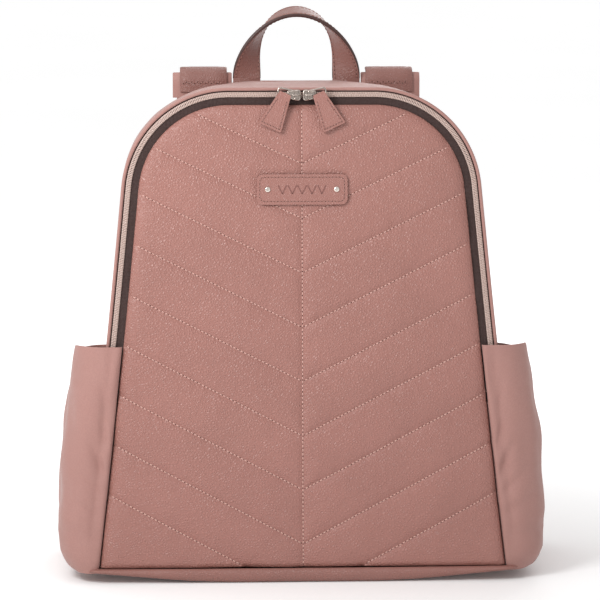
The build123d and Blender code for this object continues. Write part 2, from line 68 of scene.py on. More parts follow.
# ------------------------------------------------------------ the bag's front
LEAN = radians(5)
FRONT_NORMAL = np.array((0, -cos(LEAN), sin(LEAN)))
FRONT_UP = np.array((0, sin(LEAN), cos(LEAN)))
FLOOR_FRONT_Y = box("base_panel")[0][1]
BASE_TOP = box("base_panel")[1][2]
BACK_Y = box("back_panel")[1][1]
BACK_PANEL_Y = box("back_panel")[0][1]
PANEL_TOP = box("front_panel_flap")[1][2]
ZIP_END = box("zip_tape_tail")[0][2]
SHOULDER_RADIUS = 72
SIDE_POINTS = ((163, 0), (145.5, 155), (123, PANEL_TOP))

# Depths are behind the leaning front plane, and growths are out from the panel's outline.
PANEL_BACK = 6.8
PANEL_FACE = 2.1
COIL_DEPTH = 6.0
GUSSET_GROWTH = 13
GUSSET_WALL = 2.5
GUSSET_FRONT = 8


def points_at(*parts):
    """Points from coordinates that are arrays or single numbers."""
    return np.stack(np.broadcast_arrays(*parts), axis=-1).astype(float)


def circle_through(a, b, c):
    """Centre and radius of the circle through three points."""
    rows = np.array([(b[0] - a[0], b[1] - a[1]), (c[0] - a[0], c[1] - a[1])], float)
    sums = np.array([np.dot(b, b) - np.dot(a, a), np.dot(c, c) - np.dot(a, a)]) / 2
    centre = np.linalg.solve(rows, sums)
    return centre, hypot(centre[0] - a[0], centre[1] - a[1])


SIDE_CENTRE, SIDE_RADIUS = circle_through(*SIDE_POINTS)
SHOULDER_Z = PANEL_TOP - SHOULDER_RADIUS
SHOULDER_X = SIDE_CENTRE[0] - sqrt(
    (SIDE_RADIUS + SHOULDER_RADIUS) ** 2 - (SIDE_CENTRE[1] - SHOULDER_Z) ** 2
)
SHOULDER_START = atan2(SIDE_CENTRE[1] - SHOULDER_Z, SIDE_CENTRE[0] - SHOULDER_X)


def front_y(z, depth=0.0):
    """Y of the leaning front plane at a height, or of the plane that far behind it."""
    return FLOOR_FRONT_Y + z * tan(LEAN) + depth / cos(LEAN)


def on_front(x, z, depth):
    """Points on the leaning front, given by x, height and depth behind it."""
    return points_at(x, front_y(z, depth), z)


def half_width(z, grow=0.0):
    """Half the width of the side arc, grown outwards, at a height below the shoulder."""
    radius = SIDE_RADIUS - grow
    return SIDE_CENTRE[0] - np.sqrt(radius**2 - (z - SIDE_CENTRE[1]) ** 2)


def arch(grow=0.0, low=BASE_TOP, step=3.0):
    """The grown outline as points (x, z), from the right foot over the top to the left.

    Every growth has the same number of points, so that two of them can be joined.
    """
    side_top = SHOULDER_Z + (SHOULDER_RADIUS + grow) * sin(SHOULDER_START)
    z = np.linspace(low, side_top, round((SHOULDER_Z - low) / step) + 1)
    side = points_at(half_width(z, grow), z)
    turn = np.linspace(SHOULDER_START, pi / 2, round(SHOULDER_RADIUS * 1.6 / step) + 1)[1:]
    radius = SHOULDER_RADIUS + grow
    shoulder = points_at(SHOULDER_X + radius * np.cos(turn), SHOULDER_Z + radius * np.sin(turn))
    x = np.linspace(SHOULDER_X, 0, round(SHOULDER_X / step) + 1)[1:]
    right = np.concatenate([side, shoulder, points_at(x, PANEL_TOP + grow)])
    return np.concatenate([right, right[:-1][::-1] * (-1, 1)])


def edge_distance(x, z):
    """How far inside the front panel's outline a point is."""
    x = np.abs(x)
    side = np.hypot(SIDE_CENTRE[0] - x, SIDE_CENTRE[1] - z) - SIDE_RADIUS
    straight = np.minimum(side, PANEL_TOP - z)
    corner = SHOULDER_RADIUS - np.hypot(x - SHOULDER_X, z - SHOULDER_Z)
    in_corner = (x > SHOULDER_X) & (z > SHOULDER_Z)
    return np.where(in_corner, np.minimum(corner, side), straight)


def waves(a, b, size, seed, count=8):
    """A smooth random height from about -1 to 1, with bumps about that size across."""
    chance = np.random.default_rng(seed)
    total = np.zeros(np.broadcast(a, b).shape)
    for _ in range(count):
        heading = chance.uniform(0, 2 * pi)
        rate = 2 * pi / (size * chance.uniform(0.7, 1.6))
        run = a * cos(heading) + b * sin(heading)
        total += np.sin(run * rate + chance.uniform(0, 2 * pi))
    return total / sqrt(count)


def ease(value, low, high):
    """0 below low, 1 above high, and smooth between them."""
    share = np.clip((value - low) / (high - low), 0, 1)
    return share * share * (3 - 2 * share)


# ---------------------------------------------------------------- mesh making
def merge(shapes):
    """Several (points, faces) shapes as one."""
    points, faces, used = [], [], 0
    for shape_points, shape_faces in shapes:
        points.append(np.asarray(shape_points, float).reshape(-1, 3))
        faces += [tuple(i + used for i in face) for face in shape_faces]
        used += len(points[-1])
    return np.concatenate(points), faces


def make(name, shape, material, body=None, replaces=(), sharp=None, second=None):
    """An object of a shape, facing outwards, that rides on a body.

    second is another material's name and, for each face, whether the face has it.
    """
    points, faces = shape
    mesh = bpy.data.meshes.new(name)
    mesh.from_pydata((np.asarray(points, float) * MM).tolist(), [], faces)
    mesh.materials.append(MATERIAL[material])
    if second:
        mesh.materials.append(MATERIAL[second[0]])
        mesh.polygons.foreach_set("material_index", second[1])
    work = bmesh.new()
    work.from_mesh(mesh)
    bmesh.ops.recalc_face_normals(work, faces=work.faces)
    work.to_mesh(mesh)
    work.free()
    mesh.polygons.foreach_set("use_smooth", [True] * len(mesh.polygons))
    if sharp:
        mesh.set_sharp_from_angle(angle=radians(sharp))
    piece = bpy.data.objects.new(name, mesh)
    SCENE.collection.objects.link(piece)
    if replaces:
        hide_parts(*replaces)
    if body:
        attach(piece, body)
    return piece


def fold_over(piece):
    """Bakes the placement of a piece, which crosses from the bag to the flap, into its mesh."""
    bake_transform(piece)


def loft(rings, closed=False, caps=True):
    """Skin over closed rings of points, an array of (ring, point, xyz)."""
    rings = np.asarray(rings, float)
    count, around = rings.shape[:2]
    faces = []
    for i in range(count if closed else count - 1):
        a, b = i * around, (i + 1) % count * around
        for j in range(around):
            k = (j + 1) % around
            faces.append((a + j, a + k, b + k, b + j))
    if caps and not closed:
        faces.append(tuple(range(around)))
        faces.append(tuple(reversed(range((count - 1) * around, count * around))))
    return rings.reshape(-1, 3), faces


def wall(outer, inner):
    """A closed sheet between two grids of points of the same shape (row, column, xyz)."""
    outer, inner = np.asarray(outer, float), np.asarray(inner, float)
    rows, columns = outer.shape[:2]
    ring = np.concatenate([outer, inner[:, ::-1]], axis=1)
    points, faces = loft(ring, caps=False)
    around = 2 * columns
    for start in (0, (rows - 1) * around):
        for j in range(columns - 1):
            back = around - 1 - j
            faces.append((start + j, start + j + 1, start + back - 1, start + back))
    return points, faces


def fill(outline, inner, seams=()):
    """Triangles over a flat outline, through inner points and along seams.

    The outline's own points come first in the result, in their order.
    """
    points = [*map(tuple, outline), *map(tuple, inner)]
    count = len(outline)
    edges = [(i, (i + 1) % count) for i in range(count)]
    for seam in seams:
        start = len(points)
        points += [tuple(p) for p in seam]
        edges += [(i, i + 1) for i in range(start, len(points) - 1)]
    made = delaunay_2d_cdt([Vector(p) for p in points], edges, [], 1, 1e-4)
    spots, faces, sources = made[0], made[2], made[3]
    place = {}
    for index, source in enumerate(sources):
        for original in source:
            if original < count:
                place[original] = index
    first = [place[i] for i in range(count)]
    taken = set(first)
    order = first + [i for i in range(len(spots)) if i not in taken]
    rank = {old: new for new, old in enumerate(order)}
    spots = np.array([spots[i][:] for i in order])
    return spots, [tuple(rank[i] for i in face) for face in faces]


def panel_between(outline, front_flat, back_flat, front, back):
    """A closed panel from two fills of one outline, with a function for each face's place."""
    front_points = front(*front_flat[0].T)
    back_points = back(*back_flat[0].T)
    shift, count = len(front_points), len(outline)
    faces = list(front_flat[1])
    faces += [tuple(i + shift for i in reversed(face)) for face in back_flat[1]]
    for i in range(count):
        k = (i + 1) % count
        faces.append((k, i, i + shift, k + shift))
    return np.concatenate([front_points, back_points]), faces


def beside(path):
    """Directions square to a flat path, on its right."""
    along = unit(np.gradient(path, axis=0))
    return points_at(along[:, 1], -along[:, 0])


def ribbon(path, middle, width, thickness):
    """A flat band, along points (y, z) in an upright plane, as wide as given along x."""
    half, thick = width / 2, thickness / 2
    edge = [(-half, -0.6 * thick), (-half + 0.8, -thick), (half - 0.8, -thick), (half, -0.6 * thick)]
    section = edge + [(-a, -b) for a, b in edge]
    rings = [
        [(middle + a, *(spot + out * b)) for a, b in section] for spot, out in zip(path, beside(path))
    ]
    return loft(rings)


def smooth_path(points, pitch):
    """A rounded path through the given corner points."""
    points = np.asarray(points, float)
    for _ in range(3):
        low = points[:-1] * 0.75 + points[1:] * 0.25
        high = points[:-1] * 0.25 + points[1:] * 0.75
        inner = np.stack([low, high], axis=1).reshape(-1, points.shape[1])
        points = np.vstack([points[:1], inner, points[-1:]])
    return resample(points, pitch)[0]


def tube(path, radius, side_way, sides=10):
    """A round wire along a path in the plane that side_way stands on."""
    path = np.asarray(path, float)
    along = unit(np.gradient(path, axis=0))
    out = np.cross(along, side_way)
    angles = np.linspace(0, 2 * pi, sides, endpoint=False)
    rings = [
        [spot + radius * (cos(a) * o + sin(a) * np.asarray(side_way)) for a in angles]
        for spot, o in zip(path, out)
    ]
    return loft(rings)


def applied(piece):
    """Gives a piece the mesh that its modifiers make, and drops them."""
    graph = bpy.context.evaluated_depsgraph_get()
    mesh = bpy.data.meshes.new_from_object(piece.evaluated_get(graph))
    piece.modifiers.clear()
    piece.data = mesh
    mesh.polygons.foreach_set("use_smooth", [True] * len(mesh.polygons))


def mesh_points(mesh):
    """The places of a mesh's points, in metres."""
    flat = np.empty(len(mesh.vertices) * 3)
    mesh.vertices.foreach_get("co", flat)
    return flat.reshape(-1, 3)


CLOTH_STEPS = 20
CLOTH_PRESSURE = 4.0


def inflate(piece, voxel, cap):
    remesh = piece.modifiers.new("Remesh", "REMESH")
    remesh.mode = "VOXEL"
    remesh.voxel_size = voxel * MM
    applied(piece)
    rest = mesh_points(piece.data)
    cloth = piece.modifiers.new("Cloth", "CLOTH")
    cloth.settings.use_pressure = True
    cloth.settings.uniform_pressure_force = CLOTH_PRESSURE
    cloth.settings.effector_weights.gravity = 0
    for step in range(1, CLOTH_STEPS + 1):
        SCENE.frame_set(step)
    graph = bpy.context.evaluated_depsgraph_get()
    swollen = mesh_points(piece.evaluated_get(graph).data)
    piece.modifiers.clear()
    SCENE.frame_set(1)
    move = swollen - rest
    length = np.linalg.norm(move, axis=1, keepdims=True)
    move *= np.minimum(1, cap * MM / np.maximum(length, 1e-9))
    piece.data.vertices.foreach_set("co", (rest + move).ravel())
    soften = piece.modifiers.new("Subdivision", "SUBSURF")
    soften.levels = soften.render_levels = 1
    applied(piece)


def grid_inside(outline_distance, spacing, margin, low, high):
    """Staggered grid points (x, z) that are at least a margin inside."""
    rows = np.arange(low[1], high[1], spacing * sqrt(3) / 2)
    points = []
    for index, z in enumerate(rows):
        x = np.arange(low[0] + (index % 2) * spacing / 2, high[0], spacing)
        points.append(points_at(x, z))
    points = np.concatenate(points)
    return points[outline_distance(points[:, 0], points[:, 1]) > margin]


def resample(path, pitch, *others):
    """Even steps along a path, with anything else that is known along it."""
    path = np.asarray(path, float)
    reach = np.concatenate([[0], np.cumsum(np.linalg.norm(np.diff(path, axis=0), axis=1))])
    stops = np.linspace(0, reach[-1], max(1, round(reach[-1] / pitch)) + 1)

    def at_stops(values):
        columns = np.asarray(values, float).T
        return np.stack([np.interp(stops, reach, column) for column in columns], -1)

    return [at_stops(values) for values in (path, *others)]


def unit(vectors):
    return vectors / np.linalg.norm(vectors, axis=-1, keepdims=True)


def spindle(length, radius, sides=6):
    """A short thread along x: three rings and two points."""
    points = [(-length / 2, 0, 0)]
    for share, thick, lift in ((-0.33, 0.8, 0.25), (0, 1.0, 0.5), (0.33, 0.8, 0.25)):
        for side in range(sides):
            angle = 2 * pi * side / sides
            height = radius * (thick * sin(angle) * 0.8 + lift)
            points.append((share * length, radius * thick * cos(angle), height))
    points.append((length / 2, 0, 0))
    last = len(points) - 1
    faces = []
    for side in range(sides):
        other = (side + 1) % sides
        faces.append((0, 1 + other, 1 + side))
        faces.append((last, last - sides + side, last - sides + other))
        for ring in range(2):
            a, b = 1 + ring * sides, 1 + (ring + 1) * sides
            faces.append((a + side, a + other, b + other, b + side))
    return np.array(points), faces


def bead(length, width, height, sides=6):
    """A low closed dot, for the hole that a thread goes into."""
    points = [(0, 0, height), (0, 0, -height)]
    for side in range(sides):
        angle = 2 * pi * side / sides
        points.append((length / 2 * cos(angle), width / 2 * sin(angle), 0))
    faces = []
    for side in range(sides):
        a, b = 2 + side, 2 + (side + 1) % sides
        faces.append((0, a, b))
        faces.append((1, b, a))
    return np.array(points), faces


def stamp(shape, middles, along, outward):
    """Copies of a small shape, with its x along a direction and its z outward."""
    template, faces = shape
    across = np.cross(outward, along)
    points = (
        middles[:, None]
        + template[None, :, 0:1] * along[:, None]
        + template[None, :, 1:2] * across[:, None]
        + template[None, :, 2:3] * outward[:, None]
    )
    size = len(template)
    copies = []
    for copy in range(len(middles)):
        copies += [tuple(i + copy * size for i in face) for face in faces]
    return points.reshape(-1, 3), copies


STITCH_PITCH = 3.2


def stitch_rows(rows, pitch=STITCH_PITCH, radius=0.5):
    """Threads and holes along rows of (path, outward). Returns the two shapes."""
    threads, holes = [], []
    for path, outward in rows:
        outward = np.broadcast_to(outward, np.shape(path))
        points, normals = resample(path, pitch, outward)
        if len(points) < 2:
            continue
        along = unit(np.diff(points, axis=0))
        middles = (points[1:] + points[:-1]) / 2
        facing = unit(normals[1:] + normals[:-1])
        facing = unit(facing - along * np.sum(facing * along, -1, keepdims=True))
        threads.append(stamp(spindle(pitch * 0.78, radius), middles, along, facing))
        spots = points[:-1]
        holes.append(stamp(bead(pitch * 0.36, radius * 2.3, 0.16), spots, along, facing))
    return merge(threads), merge(holes)


def sew(name, rows, body=None, pitch=STITCH_PITCH, radius=0.5, thread="thread"):
    """Rows of stitches as one piece, with light threads, and dark dots at the holes as painted shade."""
    threads, holes = stitch_rows(rows, pitch, radius)
    shape = merge([threads, holes])
    index = [0] * len(threads[1]) + [1] * len(holes[1])
    return make(name, shape, thread, body, second=("hole", index))


# ------------------------------------------------------------------ materials
# A wave texture has this many waves to a unit when its scale is 1.
WAVES_PER_UNIT = 3.18


class Graph:
    """A material's nodes, with short calls to add and join them."""

    def __init__(self, name):
        self.material = bpy.data.materials.new(name)
        self.material.use_nodes = True
        self.tree = self.material.node_tree
        self.shader = self.tree.nodes["Principled BSDF"]
        self.place = self.add("TexCoord").outputs["Object"]

    def add(self, kind, inputs=None, **settings):
        node = self.tree.nodes.new("ShaderNode" + kind)
        for key, value in settings.items():
            setattr(node, key, value)
        for key, value in (inputs or {}).items():
            self.feed(node.inputs[key], value)
        return node

    def feed(self, socket, value):
        if isinstance(value, bpy.types.NodeSocket):
            self.tree.links.new(value, socket)
        else:
            socket.default_value = value

    def noise(self, size, detail=3.0, place=None):
        """Noise whose bumps are about that many millimetres across."""
        inputs = {"Vector": place or self.place, "Scale": 1 / (size * MM), "Detail": detail}
        return self.add("TexNoise", inputs).outputs["Fac"]

    def cells(self, size, feature="DISTANCE_TO_EDGE", place=None):
        """Cells about that many millimetres across."""
        inputs = {"Vector": place or self.place, "Scale": 1 / (size * MM)}
        return self.add("TexVoronoi", inputs, feature=feature).outputs["Distance"]

    def bands(self, size, direction):
        """Ribs that many millimetres apart along an axis."""
        inputs = {"Vector": self.place, "Scale": 1 / (size * MM) / WAVES_PER_UNIT}
        return self.add("TexWave", inputs, bands_direction=direction).outputs["Fac"]

    def math(self, operation, a, b=0.0, c=0.0):
        return self.add("Math", {0: a, 1: b, 2: c}, operation=operation).outputs[0]

    def spread(self, value, low, high, to_low=0.0, to_high=1.0):
        inputs = {0: value, 1: low, 2: high, 3: to_low, 4: to_high}
        return self.add("MapRange", inputs, interpolation_type="SMOOTHSTEP").outputs[0]

    def blend(self, share, a, b):
        """Colour a turning into colour b."""
        node = self.add("Mix", data_type="RGBA")
        self.feed(node.inputs[0], share)
        for socket, value in ((node.inputs[6], a), (node.inputs[7], b)):
            self.feed(socket, value if isinstance(value, bpy.types.NodeSocket) else (*value, 1))
        return node.outputs[2]

    def bump(self, height, distance, strength=1.0, under=None):
        inputs = {"Height": height, "Distance": distance * MM, "Strength": strength}
        node = self.add("Bump", inputs)
        if under:
            self.feed(node.inputs["Normal"], under)
        return node.outputs["Normal"]

    def finish(self, colour, roughness, normal=None, **constants):
        self.feed(
            self.shader.inputs["Base Color"],
            colour if isinstance(colour, bpy.types.NodeSocket) else (*colour, 1),
        )
        self.feed(self.shader.inputs["Roughness"], roughness)
        if normal:
            self.feed(self.shader.inputs["Normal"], normal)
        for key, value in constants.items():
            self.shader.inputs[key.replace("_", " ")].default_value = value
        return self.material


def scaled(colour, by):
    return tuple(min(1.0, part * by) for part in colour)


def leather(name, colour, cell=2.1, depth=0.42, edge_paint=None):
    """Pebbled faux leather, with painted shade darkening the creases between its pebbles, and shinier on
    its grains.
    """
    g = Graph(name)
    wobble = g.add("TexNoise", {"Vector": g.place, "Scale": 1 / (4 * MM)}).outputs["Color"]
    shift = g.add("VectorMath", {0: wobble, 3: 0.9 * MM}, operation="SCALE").outputs[0]
    place = g.add("VectorMath", {0: g.place, 1: shift}, operation="ADD").outputs[0]
    pebble = g.spread(g.cells(cell, place=place), 0.0, 0.42)
    coarse = g.noise(cell * 1.7, 2, place)
    grain = g.math("MULTIPLY_ADD", coarse, 0.8, pebble)
    mottle = g.spread(g.noise(55, 2), 0.3, 0.7)
    tint = g.blend(mottle, scaled(colour, 0.97), scaled(colour, 1.03))
    # Painted shade: the colour darkens down into the creases between the pebbles.
    painted_crease_shade = g.spread(pebble, 0.0, 0.5, 0.2, 0.0)
    tint = g.blend(painted_crease_shade, tint, scaled(colour, 0.55))
    rough = g.spread(g.noise(9, 3), 0.3, 0.7, 0.36, 0.46)
    fine = g.bump(g.noise(0.6, 2), 0.04, 0.5)
    normal = g.bump(grain, depth, 0.85, fine)
    if edge_paint:
        # Dark edge paint on faces turned away from the front; the band also takes in the rounded rim of
        # the face, where it stands in for the shadow along the edge as painted shadow.
        inputs = {0: g.add("NewGeometry").outputs["True Normal"], 1: tuple(FRONT_NORMAL)}
        facing = g.add("VectorMath", inputs, operation="DOT_PRODUCT").outputs["Value"]
        tint = g.blend(g.spread(g.math("ABSOLUTE", facing), 0.9, 0.985), edge_paint, tint)
    return g.finish(tint, rough, normal, Specular_IOR_Level=0.5)


def nylon(name, colour, thread=0.55, crinkle=0.35, sheen=0.15):
    """Close twill with soft crinkles and a slight sheen."""
    g = Graph(name)
    slant = g.add("Mapping", {"Vector": g.place, "Rotation": (0.0, radians(38), radians(25))})
    lay = {"Vector": slant.outputs[0], "Scale": 1 / (thread * MM) / WAVES_PER_UNIT}
    first = g.add("TexWave", lay).outputs["Fac"]
    cross = g.bands(thread * 3.6 / WAVES_PER_UNIT, "Z")
    weave = g.math("MULTIPLY_ADD", cross, 0.6, first)
    soft = g.noise(16, 4)
    fleck = g.spread(g.noise(1.1, 2), 0.3, 0.7)
    tint = g.blend(fleck, scaled(colour, 0.955), scaled(colour, 1.045))
    tint = g.blend(g.spread(g.noise(60, 3), 0.35, 0.65, 0.0, 0.5), tint, scaled(colour, 0.93))
    normal = g.bump(weave, 0.07, 0.5)
    normal = g.bump(soft, crinkle, 0.5, normal)
    rough = g.spread(g.noise(6, 2), 0.3, 0.7, 0.62, 0.74)
    return g.finish(tint, rough, normal, Sheen_Weight=sheen, Sheen_Roughness=0.5)


def ribbed(name, colour, rib=1.0, roughness=0.8, depth=0.22):
    """Tape or webbing with ribs both ways across it, darker in the grooves and lighter on the ribs as
    painted shade and painted highlight.
    """
    g = Graph(name)
    weave = g.math("MULTIPLY_ADD", g.bands(rib, "X"), 0.8, g.bands(rib, "Z"))
    # Painted shade and highlight: the colour follows the ribs' height, dark in the grooves and light on
    # the tops.
    tint = g.blend(g.spread(weave, 0.2, 1.5), scaled(colour, 0.66), scaled(colour, 1.25))
    tint = g.blend(g.spread(g.noise(5, 3), 0.4, 0.7, 0.0, 0.35), tint, scaled(colour, 0.8))
    rough = g.spread(g.noise(2, 2), 0.3, 0.7, roughness - 0.08, roughness + 0.08)
    return g.finish(tint, rough, g.bump(weave, depth, 0.8), Sheen_Weight=0.1)


def metal(name, colour, roughness=0.18):
    """Plated metal with fine handling marks."""
    g = Graph(name)
    rub = g.spread(g.noise(5, 3), 0.35, 0.7)
    tint = g.blend(rub, colour, scaled(colour, 0.85))
    rough = g.spread(g.noise(2, 3), 0.3, 0.7, roughness - 0.05, roughness + 0.08)
    return g.finish(tint, rough, g.bump(g.noise(1.2, 2), 0.01, 0.3), Metallic=1.0)


def plain_fine(name, colour, roughness=0.6, size=0.8, depth=0.08):
    """Thread, edge paint and moulded parts: fine mottling over one colour."""
    g = Graph(name)
    fleck = g.spread(g.noise(size, 3), 0.3, 0.7)
    tint = g.blend(fleck, scaled(colour, 0.85), scaled(colour, 1.12))
    rough = g.spread(g.noise(size * 2, 2), 0.3, 0.7, roughness - 0.07, roughness + 0.07)
    return g.finish(tint, rough, g.bump(fleck, depth, 0.6))


def spacer_mesh(name, colour):
    """Breathable mesh: open cells, dark down inside as painted shade."""
    g = Graph(name)
    hole = g.spread(g.cells(2.6, "F1"), 0.18, 0.42)
    # Painted shade: each cell darkens towards its middle, where the hole goes down.
    tint = g.blend(hole, scaled(colour, 0.42), colour)
    tint = g.blend(g.spread(g.noise(30, 3), 0.4, 0.7, 0.0, 0.3), tint, scaled(colour, 0.85))
    rough = g.spread(g.noise(3, 2), 0.3, 0.7, 0.75, 0.88)
    return g.finish(tint, rough, g.bump(hole, 0.5, 0.8), Sheen_Weight=0.2)


ROSE = (0.345, 0.154, 0.127)
ROSE_NYLON = (0.365, 0.187, 0.161)
DARK_EDGE = (0.055, 0.022, 0.018)
MATERIAL = {
    "leather": leather("leather_rose", ROSE),
    "small_leather": leather("leather_rose_cut", scaled(ROSE, 0.95), 1.5, 0.25, DARK_EDGE),
    "base_leather": leather("leather_base", scaled(ROSE, 0.84), 1.7, 0.3),
    "handle_leather": leather("leather_handle", scaled(ROSE, 0.72), 1.6, 0.3),
    "nylon": nylon("nylon_rose", ROSE_NYLON),
    "pocket": nylon("nylon_pocket", scaled(ROSE_NYLON, 0.98), 0.5, 0.45),
    "lining": nylon("lining_sand", (0.56, 0.47, 0.4), 0.7, 0.5, 0.05),
    "back_mesh": spacer_mesh("mesh_rose", scaled(ROSE_NYLON, 0.82)),
    "tape": ribbed("tape_brown", (0.043, 0.02, 0.017), 1.1),
    "webbing": ribbed("webbing_rose", scaled(ROSE_NYLON, 0.75), 1.5, 0.75, 0.35),
    "binding": ribbed("binding_rose", scaled(ROSE_NYLON, 0.62), 0.8, 0.8, 0.15),
    "elastic": ribbed("elastic_rose", scaled(ROSE_NYLON, 0.7), 0.9, 0.85, 0.3),
    "coil": plain_fine("coil_champagne", (0.56, 0.42, 0.37), 0.26, 0.5, 0.04),
    "metal": metal("nickel_warm", (0.5, 0.43, 0.385)),
    "rivet": metal("nickel_bright", (0.86, 0.79, 0.72), 0.22),
    "thread": plain_fine("thread_rose", (0.6, 0.36, 0.31), 0.5, 0.4, 0.05),
    "dull_thread": plain_fine("thread_dull", (0.3, 0.15, 0.125), 0.6, 0.4, 0.05),
    # Needle holes: dark dots that stand in for the shade down in each hole, as painted shade.
    "hole": plain_fine("needle_hole_shade", (0.07, 0.025, 0.02), 0.9, 0.5, 0.05),
    "edge": plain_fine("edge_paint", DARK_EDGE, 0.45, 0.7, 0.06),
    "mark": plain_fine("pressed_mark", (0.19, 0.075, 0.062), 0.5, 0.6, 0.06),
    "board": plain_fine("board_grey", (0.2, 0.19, 0.18), 0.7, 1.5, 0.1),
}


# -------------------------------------------------------------- quilted front
SEAM_TOP = 332
SEAM_PITCH = 43.1
SEAM_COUNT = 9
SEAM_SLOPES = (0.47, 0.54)
PLATE_LOW, PLATE_HIGH = box("name_plate")


def seam_slope(index):
    share = index / (SEAM_COUNT - 1)
    return SEAM_SLOPES[0] + share * (SEAM_SLOPES[1] - SEAM_SLOPES[0])


def seam_distance(x, z):
    """Distance to the nearest quilting seam, and how far along that seam."""
    x = np.abs(x)
    nearest, along = x.copy(), z.copy()
    for index in range(SEAM_COUNT):
        slope = seam_slope(index)
        gap = np.abs(z - SEAM_TOP + SEAM_PITCH * index - slope * x) / hypot(1, slope)
        closer = gap < nearest
        nearest = np.where(closer, gap, nearest)
        along = np.where(closer, x * hypot(1, slope) + 37 * index, along)
    return nearest, along


# How far the quilted face rolls back at its rim, puffs between seams and dips in them.
RIM_ROLL = 3.3
PUFF = 0.95
SEAM_DIP = 0.75
SEAM_SOFT_DIP = 0.35
UNDER_PLATE = 2.15


def front_depth(x, z):
    """Depth of the quilted face behind the front plane: crowned, puffed and puckered."""
    x, z = np.asarray(x, float), np.asarray(z, float)
    edge = np.minimum(edge_distance(x, z), z - BASE_TOP + 4)
    seam, along = seam_distance(x, z)
    depth = PANEL_FACE + RIM_ROLL * np.exp(-np.maximum(edge, 0) / 3.2) + 0.9 * np.exp(-edge / 16)
    depth -= PUFF * (1 - np.exp(-((seam / 9) ** 1.4)))
    depth += SEAM_DIP * np.exp(-((seam / 1.5) ** 2)) + SEAM_SOFT_DIP * np.exp(-seam / 4.5)
    pull = waves(along, seam * 0.25, 7.5, 5) * np.exp(-seam / 5.5)
    depth += 0.2 * pull + 0.34 * waves(x, z, 75, 11) + 0.12 * waves(x, z, 24, 12)
    aside = np.hypot(
        np.maximum(np.abs(x) - PLATE_HIGH[0], 0),
        np.maximum(np.abs(z - (PLATE_LOW[2] + PLATE_HIGH[2]) / 2) - 12, 0),
    )
    under_plate = 1 - ease(aside, 0.5, 7)
    depth = depth * (1 - under_plate) + np.maximum(depth, UNDER_PLATE) * under_plate
    return np.clip(depth, 0.8, PANEL_BACK - 0.5)


def seam_paths(margin, step):
    """Every quilting seam on the panel, as flat (x, z) points, centre first."""
    z = np.arange(BASE_TOP + margin, PANEL_TOP - margin, step)
    paths = [points_at(0, z)]
    for index in range(SEAM_COUNT):
        slope = seam_slope(index)
        x = np.arange(step, half_width(0.0), step / hypot(1, slope))
        height = SEAM_TOP - SEAM_PITCH * index + slope * x
        inside = (edge_distance(x, height) > margin) & (height > BASE_TOP + margin)
        for side in (-1, 1):
            paths.append(points_at(side * x[inside], height[inside]))
    return paths


def build_front():
    outline = arch(0, BASE_TOP + 0.3, 2.0)
    floor = np.linspace(outline[-1], outline[0], 140)[1:-1]
    outline = np.concatenate([outline, floor])

    def inside(x, z):
        return np.minimum(edge_distance(x, z), z - BASE_TOP)

    def room(x, z):
        return np.where(seam_distance(x, z)[0] > 2.1, inside(x, z), -1)

    low, high = (-half_width(0.0), BASE_TOP), (half_width(0.0), PANEL_TOP)
    dense = [grid_inside(room, 2.3, 3.4, low, high)]
    for inset in (0.8, 2.0):
        rim = arch(-inset, BASE_TOP + 1.5, 2.0)
        dense.append(rim[seam_distance(*rim.T)[0] > 1.0])
    paths = seam_paths(1.2, 1.6)
    for path in paths:
        for gap in (-1.15, 1.15):
            row = path - beside(path) * gap
            keep = (edge_distance(*row.T) > 1.2) & (seam_distance(*row.T)[0] > 0.9)
            dense.append(row[keep])
    front_flat = fill(outline, np.concatenate(dense), paths)
    back_flat = fill(outline, grid_inside(inside, 9, 4, low, high))
    shape = panel_between(
        outline, front_flat, back_flat,
        lambda x, z: on_front(x, z, front_depth(x, z)), lambda x, z: on_front(x, z, PANEL_BACK),
    )
    panel = make(
        "quilted_front", shape, "leather",
        replaces=("front_panel_lower", "front_panel_flap"),
    )
    fold_over(panel)

    rows = []
    for path in seam_paths(2.2, 1.6):
        if len(path) > 3:
            rows.append((on_front(*path.T, front_depth(*path.T) - 0.05), FRONT_NORMAL))
    fold_over(sew("quilting_stitches", rows))


build_front()


# ---------------------------------------------------------------- zip and edge
def arch_sweep(profile, low, step=3.0):
    """Rings along the arch, each with the profile's (growth, depth) points."""
    return np.stack([on_front(*arch(grow, low, step).T, depth) for grow, depth in profile], axis=1)


def rounded(growth, depth, half_wide, half_deep, count):
    """An oval profile of (growth, depth) points."""
    angles = np.linspace(0, 2 * pi, count, endpoint=False)
    return [(growth + half_wide * cos(a), depth + half_deep * sin(a)) for a in angles]


COIL_PITCH = 1.35
FLAP_COIL = (6.1, 8.5)
GUSSET_COIL = (7.9, 10.1)


def coil_row(span, offset, low):
    """Zip teeth across the ring between two growths, standing on its tape."""
    middle, width = (span[0] + span[1]) / 2, span[1] - span[0]
    points = resample(on_front(*arch(middle, low, 1.5).T, COIL_DEPTH), COIL_PITCH)[0]
    along = unit(np.diff(points, axis=0))
    places = points[:-1] + along * COIL_PITCH * offset
    facing = np.broadcast_to(FRONT_NORMAL, places.shape)
    across = np.cross(facing, along)
    return stamp(spindle(width * 1.25, 0.52), places, across, facing)


